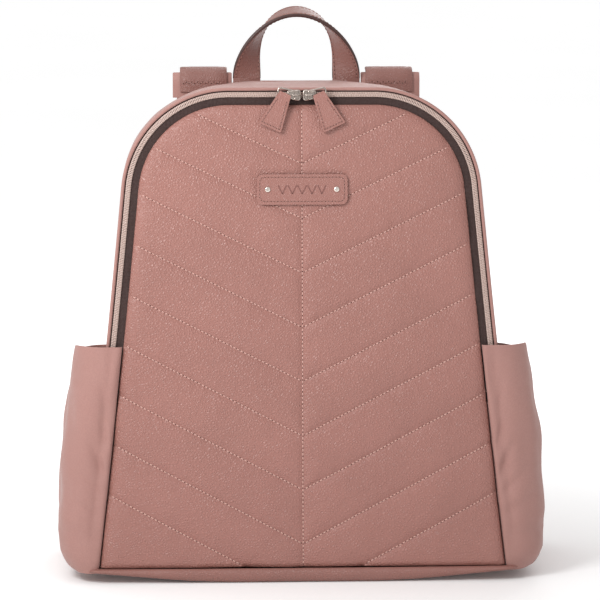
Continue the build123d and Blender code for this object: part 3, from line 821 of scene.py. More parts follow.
def build_zip():
    tape = [(5.9, 7.0), (5.9, 7.7), (-7.5, 7.7), (-7.5, 7.0), (-4, 7.0), (0, 7.0), (3, 7.0)]
    front_tape = make(
        "zip_tape_front", loft(arch_sweep(tape, ZIP_END)), "tape",
        replaces=("zip_tape_flap", "zip_tape_tail"), sharp=40,
    )
    fold_over(front_tape)
    rear = [(11.6, 7.2), (11.6, 7.8), (8.6, 7.8), (8.6, 7.2)]
    make(
        "zip_tape_rear", loft(arch_sweep(rear, ZIP_END)), "tape", "bag",
        ("zip_tape_gusset",), 40,
    )
    core = rounded(7.0, 6.6, 0.9, 0.5, 8)
    front_coil = make(
        "zip_coil_front",
        merge([coil_row(FLAP_COIL, 0.0, ZIP_END + 1), loft(arch_sweep(core, ZIP_END))]),
        "coil", replaces=("zip_coil_flap", "zip_coil_tail"),
    )
    fold_over(front_coil)
    core = rounded(9.3, 6.6, 0.8, 0.5, 8)
    rear_coil = merge([coil_row(GUSSET_COIL, 0.5, ZIP_END + 1), loft(arch_sweep(core, ZIP_END))])
    make("zip_coil_rear", rear_coil, "coil", "bag", ("zip_coil_gusset",))


def build_edge():
    """The piping between the zip and the gusset."""
    piping = arch_sweep(rounded(12.4, 6.6, 1.35, 1.6, 12), BASE_TOP + 0.2, 2.0)
    make("edge_piping", loft(piping), "nylon", "bag", ("gusset_binding",))


build_zip()
build_edge()


# --------------------------------------------------------------------- gusset
SAG = 4.6
SAG_HEIGHTS = (330, 365)
GUSSET_COLUMNS = 26
GUSSET_STEP = 3.0


def back_sag(x, z, share):
    """How far the gusset's top droops beside the handle, more towards the back."""
    return SAG * ease(np.abs(x), 32, 84) * share**1.5 * ease(z, *SAG_HEIGHTS)


def gusset_grid(grow, swell):
    """Points from behind the zip to the back panel, with the cloth's waves and its sag."""
    base = arch(grow)
    out = unit(arch(grow + 1) - base)
    start = front_y(base[:, 1], GUSSET_FRONT)
    travel = np.arange(len(base)) * GUSSET_STEP
    columns = []
    for share in np.linspace(0, 1, GUSSET_COLUMNS):
        lift = swell * (0.9 * sin(pi * share) + 0.28 * waves(travel, share * 130, 42, 21))
        lift += swell * 0.35 * waves(travel * 0.35, share * 130, 22, 22) * sin(pi * share)
        line = base + out * np.reshape(lift, (-1, 1))
        line[:, 1] -= back_sag(line[:, 0], base[:, 1], share)
        line[:, 1] = np.where(base[:, 1] <= BASE_TOP + 0.1, base[:, 1], line[:, 1])
        y = start + share * (BACK_PANEL_Y + 0.5 - start)
        columns.append(points_at(line[:, 0], y, line[:, 1]))
    return np.stack(columns, axis=1)


def build_gusset():
    outer = gusset_grid(GUSSET_GROWTH - 0.3, 1.0)
    inner = gusset_grid(GUSSET_GROWTH - GUSSET_WALL, 0.4)
    make("gusset_band", wall(outer, inner), "nylon", "bag", ("gusset",), 50)


build_gusset()


# --------------------------------------------------------------- side pockets
POCKET_TOP = box("side_pocket_right")[1][2]
POCKET_FLOOR = box("side_pocket_right")[0][2] + 5.5
POCKET_REACH = box("side_pocket_right")[1][0]
POCKET_LEVELS = (
    # height, how far the side is pulled in
    (7.5, 15), (9, 11), (12, 7.4), (16, 4.6), (23, 1.9), (34, 0.4), (56, 0), (90, 1.8),
    (125, 5.2), (160, 10), (188, 14.5),
)
POCKET_CORNER = 24
POCKET_WALL = 1.7
POCKET_COLUMNS = 120
POCKET_MOUTH_DROP = 18
POCKET_SLOPE_FROM = 120
POCKET_SLOPE_TO = 188
POCKET_CLEAR = 0.7
POCKET_TUCK = 3.0
POCKET_CREASES = (
    # along from the seam, height, heading in degrees, half length, half width, depth
    (10, 96, 62, 16, 2.6, 1.7),
    (14, 78, 40, 15, 3.0, 1.4),
    (8, 118, 70, 13, 2.4, 1.2),
    (16, 60, 28, 18, 3.5, 1.0),
    (12, 146, 80, 18, 2.6, 0.8),
    (30, 40, 12, 26, 5.0, 0.9),
    (58, 30, -20, 24, 5.0, 0.8),
    (96, 62, 55, 24, 5.5, 0.9),
    (120, 110, 70, 28, 6.0, 0.8),
    (150, 52, -45, 24, 5.0, 0.8),
)


def pocket_plan(z, inset):
    """The pocket's wall in plan at a height, from the front seam round to the back."""
    levels, pulled = zip(*POCKET_LEVELS)
    reach = POCKET_REACH - np.interp(z, levels, pulled) - inset
    tuck = POCKET_TUCK * (1 - ease(z, 6, 20))
    front = front_y(z, POCKET_CLEAR) + inset + tuck
    back = BACK_Y - POCKET_CLEAR - inset - tuck
    seam = half_width(z, 1.0)
    rear = half_width(z, GUSSET_GROWTH)
    turn = np.linspace(-pi / 2, 0, 14)
    round_front = np.clip(reach - seam - 4, 4, POCKET_CORNER - inset)
    round_back = np.clip(reach - rear - 1, 1.5, POCKET_CORNER - inset)

    def corner(radius, edge, way):
        return points_at(reach - radius * (1 - np.cos(turn)), edge + way * radius * (1 + np.sin(turn)))

    start = [(seam, front + 2.6), (seam + 0.7, front + 1.2), (seam + 2.4, front + 0.3)]
    arcs = corner(round_front, front, 1), corner(round_back, back, -1)[::-1]
    plan = np.concatenate([start, *arcs, [(rear, back)]])
    travel = np.concatenate([[0], np.cumsum(np.hypot(*np.diff(plan, axis=0).T))])
    steps = np.linspace(0, 1, POCKET_COLUMNS) ** 1.15 * travel[-1]
    return points_at(*(np.interp(steps, travel, part) for part in plan.T)), steps


def mouth_slope(points):
    """Lowers the upper part of a pocket towards the back, where its mouth dips."""
    points = np.array(points, float)
    drop = POCKET_MOUTH_DROP * ease(points[..., 1], -52, 45)
    share = (points[..., 2] - POCKET_SLOPE_FROM) / (POCKET_SLOPE_TO - POCKET_SLOPE_FROM)
    points[..., 2] -= drop * np.clip(share, 0, 1)
    return points


def pocket_rows():
    """Heights up the outside."""
    low = np.linspace(POCKET_FLOOR + 0.5, 30, 14)
    return np.concatenate([low, np.arange(33, POCKET_TOP - 0.5, 3)])


def pocket_surface(z, inset, seed):
    """One level of the pocket's wall, with its folds and the pull of its seams."""
    spots, along = pocket_plan(z, inset)
    end_fade = ease(along, 0, 6) * ease(along[-1] - along, 0, 10)
    level = np.full_like(along, z)
    lift = 0.9 * waves(along, level, 55, seed) + 0.4 * waves(along, level * 0.6, 21, seed + 1)
    lift -= 1.1 * np.exp(-(((along - 9.5) / 3.0) ** 2)) * ease(z, 20, 60)
    for spot, height, heading, length, width, depth in POCKET_CREASES:
        angle = radians(heading)
        run = (along - spot) * cos(angle) + (z - height) * sin(angle)
        off = -(along - spot) * sin(angle) + (z - height) * cos(angle)
        reach = np.exp(-((run / length) ** 2))
        lift -= depth * reach * np.exp(-((off / width) ** 2))
        lift += 0.45 * depth * reach * np.exp(-(((off - 1.7 * width) / width) ** 2))
    calm = ease(POCKET_TOP - z, 0, 20) * 0.7 + 0.3
    spots = spots + beside(spots) * (lift * end_fade * calm)[:, None]
    return mouth_slope(np.column_stack([spots, level]))


def pocket_sides(seed):
    """Rows up the outside and, with the same count, up the inside."""
    hem = ((0.1, 0.15), (0.0, 0.75))
    outer = [pocket_surface(z, 0, seed) for z in pocket_rows()]
    outer += [pocket_surface(POCKET_TOP - drop, inset, seed) for drop, inset in hem]
    inner = [pocket_surface(z, POCKET_WALL, seed) for z in pocket_rows()]
    inner += [pocket_surface(POCKET_TOP - drop, POCKET_WALL - inset, seed) for drop, inset in hem]
    return np.stack(outer, axis=1), np.stack(inner, axis=1)


def mirror(points, side):
    return np.asarray(points) * (side, 1, 1)


def build_pocket(name, side):
    seed = 31 if side < 0 else 37
    shell = wall(*pocket_sides(seed))
    low = POCKET_FLOOR + 1.0
    spots, _ = pocket_plan(low, 1.0)
    rear = half_width(low, GUSSET_GROWTH - 1.5)
    outline = np.concatenate([spots, [(rear, BACK_Y - 10), (rear, front_y(low, 12))]])
    flat = fill(outline, [])

    floor = panel_between(
        outline, flat, flat,
        lambda x, y: points_at(x, y, low + 1.4), lambda x, y: points_at(x, y, low),
    )
    points, faces = merge([shell, floor])
    make(
        f"pocket_{name}", (mirror(points, side), faces), "pocket", "bag",
        (f"side_pocket_{name}",), 50,
    )

    ribs = []
    for z, inset in ((178, 2.9), (182, 2.9), (186, 2.9), (186, 3.6), (182, 3.6), (178, 3.6)):
        spots, along = pocket_plan(z, inset)
        gather = 0.35 * np.sin(along * 2 * pi / 5.5)
        spots = spots + beside(spots) * gather[:, None]
        ribs.append(mouth_slope(np.column_stack([spots, np.full(len(spots), z)]))[3:-2])
    make(
        f"pocket_gathers_{name}", loft(mirror(np.stack(ribs, axis=1), side)),
        "elastic", "bag", (f"pocket_elastic_{name}",), 60,
    )


for name, side in SIDES.items():
    build_pocket(name, side)


# ----------------------------------------------------------------------- base
def closed(path):
    """A path that ends on its first point."""
    return np.vstack([path, path[:1]])


def rounded_box(half_x, half_y, radius, step=3.0):
    """A rectangle's outline with round corners, as (x, y) points."""
    points = []
    for x_side, y_side, start in ((1, 1, 0), (-1, 1, 90), (-1, -1, 180), (1, -1, 270)):
        middle = (x_side * (half_x - radius), y_side * (half_y - radius))
        for angle in np.radians(np.linspace(start, start + 90, 9)):
            points.append((middle[0] + radius * cos(angle), middle[1] + radius * sin(angle)))
    return resample(closed(points), step)[0][:-1]


BASE_PROFILE = (
    # inset, height
    (9.0, 0.0), (5.0, 0.1), (2.4, 0.9), (0.9, 2.4), (0.2, 4.4), (0.0, 6.3), (0.3, 8.4),
    (1.1, 10.0), (2.3, 11.0), (3.4, 11.4), (5.4, 11.0), (6.0, 10.0), (6.0, 2.6),
)
BASE_LIFT = ((60, 0), (90, 1.2), (112, 3.0), (140, 5.8), (165, 8.2))


def lifted(points):
    """Raises points below the base's seam with the ends of the base."""
    points = np.array(points, float)
    lift = np.interp(np.abs(points[..., 0]), *zip(*BASE_LIFT))
    points[..., 2] = BASE_TOP - (BASE_TOP - points[..., 2]) * (1 - lift / BASE_TOP)
    return points


def build_base():
    """The leather band under the bag, whose ends curve up off the ground."""
    low, high = box("base_panel")
    half = (high - low)[:2] / 2
    count = len(rounded_box(*half, 12))
    under = [(inset, 0.0) for inset in (68, 54, 40, 28, 18)]
    rings = []
    for inset, height in (*under, *BASE_PROFILE):
        flat = rounded_box(half[0] - inset, half[1] - inset, max(12 - inset, 4))
        reach = np.linspace(0, len(flat), count + 1)[:-1]
        flat = points_at(*(np.interp(reach, range(len(flat) + 1), part) for part in closed(flat).T))
        sway = 0.35 * waves(flat[:, 0], flat[:, 1], 60, 41) * sin(pi * height / 12)
        flat = flat * (1 - 0.0022 * sway[:, None])
        rings.append(lifted(np.column_stack([flat, np.full(count, height)])))
    make("base_band", loft(rings), "base_leather", "bag", ("base_panel",), 60)


def base_sheet(name, node, material, inset, ripple):
    """The board or the lining in the base, bent up at its ends with it."""
    low, high = box(node)
    half = (high - low)[:2] / 2 - inset
    outline = rounded_box(*half, 6, 8)

    def inside(x, y):
        return np.minimum(half[0] - np.abs(x), half[1] - np.abs(y))

    flat = fill(outline, grid_inside(inside, 10, 5, -half, half))

    shape = panel_between(
        outline, flat, flat,
        lambda x, y: lifted(points_at(x, y, high[2] + ripple * waves(x, y, 45, 61))),
        lambda x, y: lifted(points_at(x, y, low[2] + 0.05)),
    )
    make(name, shape, material, "bag", (node,), 40)


build_base()
base_sheet("stiff_board", "base_board", "board", 1.0, 0.0)
base_sheet("base_cloth", "base_lining", "lining", 1.5, 0.35)


# --------------------------------------------------------------------- handle
HANDLE_LOW, HANDLE_HIGH = box("top_handle")
HANDLE_HALF_SPAN = 41.2
HANDLE_RISE = 55
HANDLE_WIDTH = 23
HANDLE_THICKNESS = 3
HANDLE_TOP_TILT = -15
HANDLE_MIDDLE_Y = (HANDLE_LOW[1] + HANDLE_HIGH[1]) / 2
HANDLE_FOOT = (
    # x and y of the strap's section where it goes into the bag
    (-11.3, -1.0), (-10.6, -1.6), (0, -1.8), (10.6, -1.6), (11.3, -1.0),
    (11.3, 1.0), (10.6, 1.6), (0, 1.8), (-10.6, 1.6), (-11.3, 1.0),
)


def handle_frames(count):
    """Middle, across and outward directions along the handle, right foot to left foot."""
    frames = []
    for turn in np.linspace(0, 180, count):
        c, s = cos(radians(turn)), sin(radians(turn))
        from_top = abs(turn - 90) / 90
        tilt = radians(HANDLE_TOP_TILT + (90 - HANDLE_TOP_TILT) * from_top**2)
        outward = unit(np.array((HANDLE_RISE * c, 0, HANDLE_HALF_SPAN * s)))
        along = unit(np.array((-HANDLE_HALF_SPAN * s, 0, HANDLE_RISE * c)))
        across = np.array((0, -1, 0)) * cos(tilt) + outward * sin(tilt)
        middle = np.array((HANDLE_HALF_SPAN * c, HANDLE_MIDDLE_Y, HANDLE_LOW[2] + HANDLE_RISE * s))
        frames.append((middle, across, unit(np.cross(along, across))))
    return frames


def build_handle():
    half, thick = HANDLE_WIDTH / 2, HANDLE_THICKNESS / 2
    section = (
        (-half, -0.5 * thick), (-half, 0.5 * thick), (-half + 0.7, thick),
        (-half + 2.6, thick * 1.02), (-half / 2, thick * 1.16), (0, thick * 1.2),
        (half / 2, thick * 1.16), (half - 2.6, thick * 1.02), (half - 0.7, thick),
        (half, 0.5 * thick), (half, -0.5 * thick), (half - 0.7, -thick), (0, -thick),
        (-half + 0.7, -thick),
    )
    rings = [
        [middle + across * a + normal * b for a, b in section]
        for middle, across, normal in handle_frames(61)
    ]
    shape = loft(rings)
    around = len(section)
    edge_columns = {0, 1, around - 1, 8, 9, 10}
    index = [1 if i % around in edge_columns else 0 for i in range(len(shape[1]) - 2)] + [0, 0]
    make(
        "handle_strap", shape, "handle_leather", "handle", ("top_handle",),
        45, ("edge", index),
    )
    rows = []
    middle, across, normal = map(np.array, zip(*handle_frames(121)))
    for edge in (-half + 2.4, half - 2.4):
        for face in (-1, 1):
            rows.append((middle + across * edge + normal * face * (thick + 0.02), normal * face))
    sew("handle_stitches", rows, "handle", 3.4, 0.42, "dull_thread")


def build_handle_feet():
    """The handle's two ends, which go down between the gusset and the back panel."""
    feet = []
    for side in (-1, 1):
        rings = []
        for z in np.linspace(HANDLE_LOW[2] - 9, HANDLE_LOW[2] + 0.2, 6):
            middle = np.array((side * HANDLE_HALF_SPAN, HANDLE_MIDDLE_Y, z))
            rings.append([middle + (a, b, 0) for a, b in HANDLE_FOOT])
        feet.append(loft(rings))
    make("handle_feet", merge(feet), "handle_leather", "bag", sharp=50)


build_handle()
build_handle_feet()


# ------------------------------------------------------------- shoulder straps
STRAP_X = 77
STRAP_CENTRE = np.array((80.0, 390.0))
STRAP_ROLL_RADIUS = 5.65
STRAP_BOW_RADIUS = 573
STRAP_HALF_BOW = 14
STRAP_WRAP = 116
STRAP_THICKNESS = 7.3
STRAP_WIDTHS = ((106, 34), (144, 62), (334, 62), (366, 46), (420, 46))


def strap_line():
    """Middle of the shoulder strap as (y, z), and its outward directions."""
    wrap = np.radians(np.linspace(STRAP_HALF_BOW + STRAP_WRAP, STRAP_HALF_BOW, 12))
    facing = points_at(np.cos(wrap), np.sin(wrap))
    points = STRAP_CENTRE + STRAP_ROLL_RADIUS * facing
    bow = np.radians(np.linspace(STRAP_HALF_BOW, -STRAP_HALF_BOW, 72))[1:]
    bow_facing = points_at(np.cos(bow), np.sin(bow))
    bow_centre = points[-1] - STRAP_BOW_RADIUS * facing[-1]
    return (
        np.concatenate([points, bow_centre + STRAP_BOW_RADIUS * bow_facing]),
        np.concatenate([facing, bow_facing]),
    )


def strap_width(z):
    heights, widths = zip(*STRAP_WIDTHS)
    return np.interp(z, heights, widths)


BINDING_SECTION = (
    # out from the edge, and level above the middle
    (-4.4, 2.2), (-4.4, 2.75), (-1.2, 2.35), (0.0, 1.5), (0.35, 0.0),
    (0.0, -1.5), (-1.2, -2.35), (-4.4, -2.75), (-4.4, -2.2), (-1.2, -1.4), (-1.2, 1.4),
)


# A pad's edge and its crown, as shares of the strap's half thickness.
PAD_EDGE = 0.34
PAD_CROWN = 0.72
PAD_INSET = 0.8
BINDING_TOP = 372
BINDING_HALF = 2.75
STRAP_STITCH_INSET = 3.1


def strap_section():
    """A pad's half-round section as (share of half width, share of half thickness)."""
    across = np.array((-1, -0.97, -0.9, -0.78, -0.5, 0, 0.5, 0.78, 0.9, 0.97, 1))
    swell = (1 - np.abs(across) ** 3.2) * (1 - PAD_EDGE) + PAD_EDGE
    top = [(a, s * PAD_CROWN) for a, s in zip(across, swell)]
    return top + [(a, -s) for a, s in reversed(top)]


STRAP_LOOP = (
    # y and z of the webbing that holds the buckle
    (86.9, 125), (89.2, 115), (89.0, 107.2), (85.5, 105.0), (82.0, 107.2), (81.8, 115),
    (84.1, 125),
)


def build_strap(name, side):
    """A padded strap, bound and sewn along its edges."""
    middle, body = side * STRAP_X, f"strap_{name}"
    points, facing = strap_line()
    half_thick = STRAP_THICKNESS / 2
    rings = []
    for (y, z), (out_y, out_z) in zip(points, facing * half_thick):
        half = strap_width(z) / 2 - PAD_INSET
        rings.append([(middle + half * a, y + out_y * b, z + out_z * b) for a, b in strap_section()])
    pad = make(
        f"strap_pad_{name}", loft(rings), "nylon",
        replaces=(f"shoulder_strap_{name}",), sharp=60,
    )
    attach(pad, body)

    bindings, rows = [], []
    keep = (points[:, 1] < BINDING_TOP) & (points[:, 1] > points[:, 1].min() + 1)
    points, facing = points[keep], facing[keep]
    half = strap_width(points[:, 1]) / 2
    for edge in (-1, 1):
        rings = []
        for width, (y, z), (out_y, out_z) in zip(half, points, facing):
            rings.append(
                [(middle + edge * (width + a), y + out_y * b, z + out_z * b) for a, b in BINDING_SECTION]
            )
        bindings.append(loft(rings))
        for face in (-1, 1):
            outward = points_at(0, *(facing * face).T)
            line = points_at(middle + edge * (half - STRAP_STITCH_INSET), *points.T)
            rows.append((line + outward * BINDING_HALF, outward))
    make(f"strap_binding_{name}", merge(bindings), "binding", body, sharp=60)
    sew(f"strap_stitches_{name}", rows, body, 3.4, 0.42)
    loop = ribbon(smooth_path(STRAP_LOOP, 0.8), middle, 24.5, 1.2)
    make(f"strap_loop_{name}", loop, "webbing", body, sharp=60)


def over_roll(angles, drops):
    """Places and outward directions (y, z) over the strap's roll, then straight down."""
    turn = [(cos(angle), sin(angle), 0.0) for angle in np.radians(angles)]
    return turn + [(-1.0, 0.0, drop) for drop in drops]


def wrapped(path, middle, half, inner, outer, crown=0.25):
    """Rings of a flat band that lies over the roll along a path."""
    section = (
        (-1, inner), (-1, outer - 0.6), (-0.96, outer), (-0.5, outer + crown), (0, outer + crown),
        (0.5, outer + crown), (0.96, outer), (1, outer - 0.6), (1, inner),
    )
    rings = []
    for out_y, out_z, drop in path:
        ring = []
        for a, level in section:
            y = STRAP_CENTRE[0] + out_y * level
            ring.append((middle + half * a, y, STRAP_CENTRE[1] + out_z * level - drop))
        rings.append(ring)
    return rings


KEEPER_INNER = 9.8
ANCHOR_LEVELS = (7.4, 9.4)
WEBBING_THICKNESS = 1.4


def build_roll(name):
    """The leather keeper that goes over the top of each strap, with a zigzag row."""
    low, high = box(f"strap_roll_{name}")
    middle, half = (low[0] + high[0]) / 2, (high[0] - low[0]) / 2
    outer = STRAP_CENTRE[0] - low[1]
    path = over_roll(np.linspace(80, 180, 22), (1.2, 2.8, 4.4, 6.2, 8.0))
    shape = loft(wrapped(path, middle, half, KEEPER_INNER, outer))
    index = [1 if i % 9 in (0, 7, 8) else 0 for i in range(len(shape[1]) - 2)] + [1, 1]
    make(
        f"strap_keeper_{name}", shape, "handle_leather", "bag",
        (f"strap_roll_{name}",), 50, ("edge", index),
    )
    x = np.arange(middle - half + 3, middle + half - 3, 2.3)
    y = np.full(len(x), STRAP_CENTRE[0] - outer - 0.32)
    z = STRAP_CENTRE[1] - 1.2 + 1.3 * (np.arange(len(x)) % 2)
    rows = [(np.column_stack([x, y, z]), (0, -1, 0))]
    sew(f"keeper_stitches_{name}", rows, "bag", 2.65, 0.4, "dull_thread")


def build_anchor(name, side):
    """The nylon sleeve that goes under each keeper and down into the gusset."""
    path = over_roll(np.linspace(125, 180, 14), (2, 5, 8, 11, 13))
    rings = wrapped(path, side * (STRAP_X + 1), 24.5, *ANCHOR_LEVELS, 0.3)
    make(
        f"strap_anchor_{name}", loft(rings), "nylon", "bag",
        (f"strap_base_{name}",), 50,
    )


BUCKLE_WEBBING = (
    # y and z of the webbing as it threads the buckle and hangs down
    (85.5, 83.5), (87.6, 86.5), (88.3, 92), (85.5, 95.8), (82.6, 98.5), (82.4, 103),
    (85.5, 105.6), (88.4, 103), (89.2, 96), (89.8, 84), (89.0, 70), (88.2, 58),
)


def build_webbing(name, side):
    """Webbing from the bag's foot up to the buckle, and its end that comes back out of it."""
    low, high = box(f"strap_webbing_{name}")
    foot_y, top_y = low[1] + WEBBING_THICKNESS / 2, high[1] - WEBBING_THICKNESS / 2
    heights = np.linspace(low[2], high[2], 40)
    share = ease(heights, 26, high[2] + 30) / ease(high[2], 26, high[2] + 30)
    path = points_at(foot_y + (top_y - foot_y) * share, heights)
    middle = side * STRAP_X
    piece = make(
        f"webbing_{name}", ribbon(path, middle, high[0] - low[0], WEBBING_THICKNESS), "webbing",
        replaces=(f"strap_webbing_{name}",), sharp=60,
    )
    end = (middle * MM, foot_y * MM, high[2] * MM)
    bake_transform(piece)

    end = ribbon(smooth_path(BUCKLE_WEBBING, 0.9), middle, 24.6, 1.1)
    make(f"buckle_webbing_{name}", end, "webbing", f"buckle_{name}", sharp=60)


for name, side in SIDES.items():
    build_strap(name, side)
    build_roll(name)
    build_anchor(name, side)
    build_webbing(name, side)


# ------------------------------------------------------ plate, pulls and metal
def dress(node, material, bevel=None):
    """A better material, and softer edges, on a CAD node whose shape is right."""
    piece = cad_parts[node]
    for place in piece.material_slots:
        place.link = "OBJECT"
        place.material = MATERIAL[material]
    if bevel:
        soften = piece.modifiers.new("Soft edges", "BEVEL")
        soften.width = bevel * MM
        soften.segments = 3
        soften.limit_method = "ANGLE"
        soften.angle_limit = radians(40)


def build_plate():
    dress("name_plate", "small_leather", 0.7)
    dress("name_plate_rivets", "rivet")
    middle_z = (PLATE_LOW[2] + PLATE_HIGH[2]) / 2
    half_z = (PLATE_HIGH[2] - PLATE_LOW[2]) / 2 / cos(LEAN)
    x, up = closed(rounded_box(PLATE_HIGH[0] - 2.5, half_z - 2.5, 3.2, 1.0)).T
    path = on_front(x, middle_z + up * cos(LEAN), 0.0)
    sew("plate_stitches", [(path, FRONT_NORMAL)], "front_flap", 2.7, 0.3, "dull_thread")

    bars = []
    for middle, reach in ((-15.6, 3.2), (-7.8, 3.4), (0, 3.6), (7.8, 3.4), (15.6, 3.2)):
        for turn in (-1, 1):
            ends = np.array(((middle, -3.6), (middle + turn * reach, 3.2)))
            run = unit(ends[1] - ends[0])
            off = np.array((-run[1], run[0])) * 0.55
            corners = (ends[0] - off, ends[1] - off, ends[1] + off, ends[0] + off)
            bars.append(
                loft([[on_front(x, middle_z + z, depth) for x, z in corners] for depth in (0.3, -0.06)])
            )
    make("plate_chevrons", merge(bars), "mark", "front_flap", sharp=30)


SLIDER_PLAN = (
    # the plate's half height, from its nose to its tail
    (-5.5, 2.6), (-4.9, 3.8), (-3.4, 4.4), (-1.4, 4.3), (0.6, 3.7), (2.6, 3.5), (4.4, 3.7),
    (5.2, 3.2), (5.5, 2.2),
)
SLIDER_LEVELS = (
    # share of the plan, and level above the face
    (0.9, -3.5), (1.0, -3.2), (1.0, -0.9), (0.97, -0.35), (0.88, 0.0), (0.76, -0.06), (0.7, -0.5),
)
SLIDER_BAIL = ((-2.9, -0.6), (-2.9, 2.6), (-1.9, 3.7), (1.9, 3.7), (2.9, 2.6), (2.9, -0.6))


def build_slider(name, side):
    """A zip slider: waisted plate with a raised rim, bail, blade and rear plate."""
    low, high = box(f"zip_slider_{name}")
    centre = (low + high) / 2
    face = on_front(centre[0], centre[2], 1.0)

    def spot(u, v, w):
        """Out along the zip, up the front and out of the front."""
        return face + side * np.array((u, 0, 0)) + v * FRONT_UP + w * FRONT_NORMAL

    plan = [(u, half) for u, half in SLIDER_PLAN] + [(u, -half) for u, half in SLIDER_PLAN[::-1]]
    plate = loft([[spot(u * k, v * k, level) for u, v in plan] for k, level in SLIDER_LEVELS])
    path = smooth_path([spot(u - 1.0, 0, w) for u, w in SLIDER_BAIL], 0.4)
    bail = tube(path, 0.62, FRONT_UP)
    corners = ((-1, -1), (1, -1), (1, 1), (-1, 1))
    blade = loft([[spot(3 * a, 0.3 * b, w) for a, b in corners] for w in (-3.4, -7.9)])
    levels = ((0.94, -7.7), (1.0, -7.9), (1.0, -8.7), (0.9, -8.95))
    rear = loft([[spot(5 * k * a, 1.9 * k * b - 1.8, w) for a, b in corners] for k, w in levels])
    make(
        f"slider_{name}", merge([plate, bail, blade, rear]), "metal",
        f"slider_{name}", (f"zip_slider_{name}",), 40,
    )


TAB_WIDTHS = (9.6, 19.4)
TAB_TILT = radians(25)


def build_pulls(name, side):
    dress(f"pull_tab_{name}", "small_leather", 0.4)
    dress(f"pull_link_{name}", "metal")
    along = side * np.array((cos(TAB_TILT), 0, 0)) + sin(TAB_TILT) * FRONT_UP
    down = side * np.array((sin(TAB_TILT), 0, 0)) - cos(TAB_TILT) * FRONT_UP
    points = np.array([v.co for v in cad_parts[f"pull_tab_{name}"].data.vertices]) / MM
    drop, slide, level = points @ down, points @ along, points @ FRONT_NORMAL
    foot_edge = slide[drop > drop.max() - 3]
    centre = (foot_edge.max() + foot_edge.min()) / 2
    top, foot = drop.min() + 6.0, drop.max() - 2.0

    def spot(slide_by, drop_to, face):
        return along * (centre + slide_by) + down * drop_to + FRONT_NORMAL * face

    def half_at(place):
        share = (place - drop.min()) / (drop.max() - drop.min())
        return (TAB_WIDTHS[0] + (TAB_WIDTHS[1] - TAB_WIDTHS[0]) * share) / 2 - 1.9

    rows = []
    for face, sign in ((level.max() + 0.02, 1), (level.min() - 0.02, -1)):
        turns = ((-1, top), (-1, foot), (1, foot), (1, top))
        corners = [spot(way * half_at(place), place, face) for way, place in turns]
        for a, b in zip(corners[:-1], corners[1:]):
            rows.append((np.linspace(a, b, 12), FRONT_NORMAL * sign))
    sew(f"tab_stitches_{name}", rows, f"tab_{name}", 2.7, 0.34, "dull_thread")


build_plate()
for name, side in SIDES.items():
    build_pulls(name, side)
    build_slider(name, side)
    dress(f"strap_buckle_{name}", "metal", 0.5)
    dress(f"strap_patch_{name}", "small_leather", 0.5)
dress("zip_end_stops", "metal", 0.4)


# -------------------------------------------------------------- back and inside
def upright_sheet(grow, low, spacing, outer, inner):
    """A closed sheet inside the grown outline, from functions of (x, z, way in from the edge)."""
    outline = arch(grow, low, 3.0)
    floor = np.linspace(outline[-1], outline[0], 100)[1:-1]
    outline = np.concatenate([outline, floor])

    def inside(x, z):
        return np.minimum(edge_distance(x, z) + grow, z - low)

    corners = (-half_width(0.0, 14), low), (half_width(0.0, 14), PANEL_TOP + 14)
    rims = [arch(grow - inset, low + inset, 3.0) for inset in (1, 2.4)]
    inner_points = np.concatenate([grid_inside(inside, spacing, 4, *corners), *rims])
    flat = fill(outline, inner_points)

    def placed(place):
        return lambda x, z: place(x, z, np.maximum(inside(x, z), 0))

    return panel_between(outline, flat, flat, placed(outer), placed(inner))


def sagged(shape):
    """Lowers a sheet at the back with the gusset's top."""
    points, faces = shape
    points[:, 2] -= back_sag(points[:, 0], points[:, 2], 1.0)
    return points, faces


def build_back():
    """The back panel in nylon, with sewn edges."""

    def outer(x, z, edge):
        y = BACK_Y - 2.4 * np.exp(-edge / 1.6) + 0.3 * waves(x, z, 60, 51)
        return points_at(x, np.minimum(y, BACK_Y), z)

    def inner(x, z, edge):
        return points_at(x, BACK_PANEL_Y, z)

    shape = sagged(upright_sheet(GUSSET_GROWTH, BASE_TOP + 0.2, 5, outer, inner))
    make("back_cover", shape, "nylon", "bag", ("back_panel",), 60)


BACK_PADS = (
    # name, middle x, middle z, half width, half height
    ("left", -32.5, 208, 25, 140),
    ("right", 32.5, 208, 25, 140),
    ("low", 0, 42, 56, 17),
)


PAD_HEIGHT = 2.0


def build_back_pads():
    """Soft mesh pads on the back, swollen and then sewn down round their rims."""
    for name, middle_x, middle_z, half_x, half_z in BACK_PADS:
        outline = rounded_box(half_x, half_z, 12, 3.0)

        def inside(x, z):
            return np.minimum(half_x - np.abs(x), half_z - np.abs(z))

        flat = fill(outline, grid_inside(inside, 5, 3, (-half_x, -half_z), (half_x, half_z)))

        def crown(x, z):
            y = BACK_Y + 0.3 + PAD_HEIGHT * (1 - np.exp(-np.maximum(inside(x, z), 0) / 5))
            return points_at(x + middle_x, y, z + middle_z)

        def flush(x, z):
            return points_at(x + middle_x, BACK_Y - 1.2, z + middle_z)

        pad = make(
            f"back_pad_{name}", panel_between(outline, flat, flat, crown, flush),
            "back_mesh", sharp=60,
        )
        inflate(pad, 4, 2.2)
        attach(pad, "bag")
        x, z = closed(rounded_box(half_x + 0.4, half_z + 0.4, 12, 2.0)).T
        rim = points_at(x + middle_x, BACK_Y + 0.25, z + middle_z)
        piping = tube(rim, 0.95, (0, 1, 0), 8)
        make(f"pad_piping_{name}", piping, "binding", "bag")


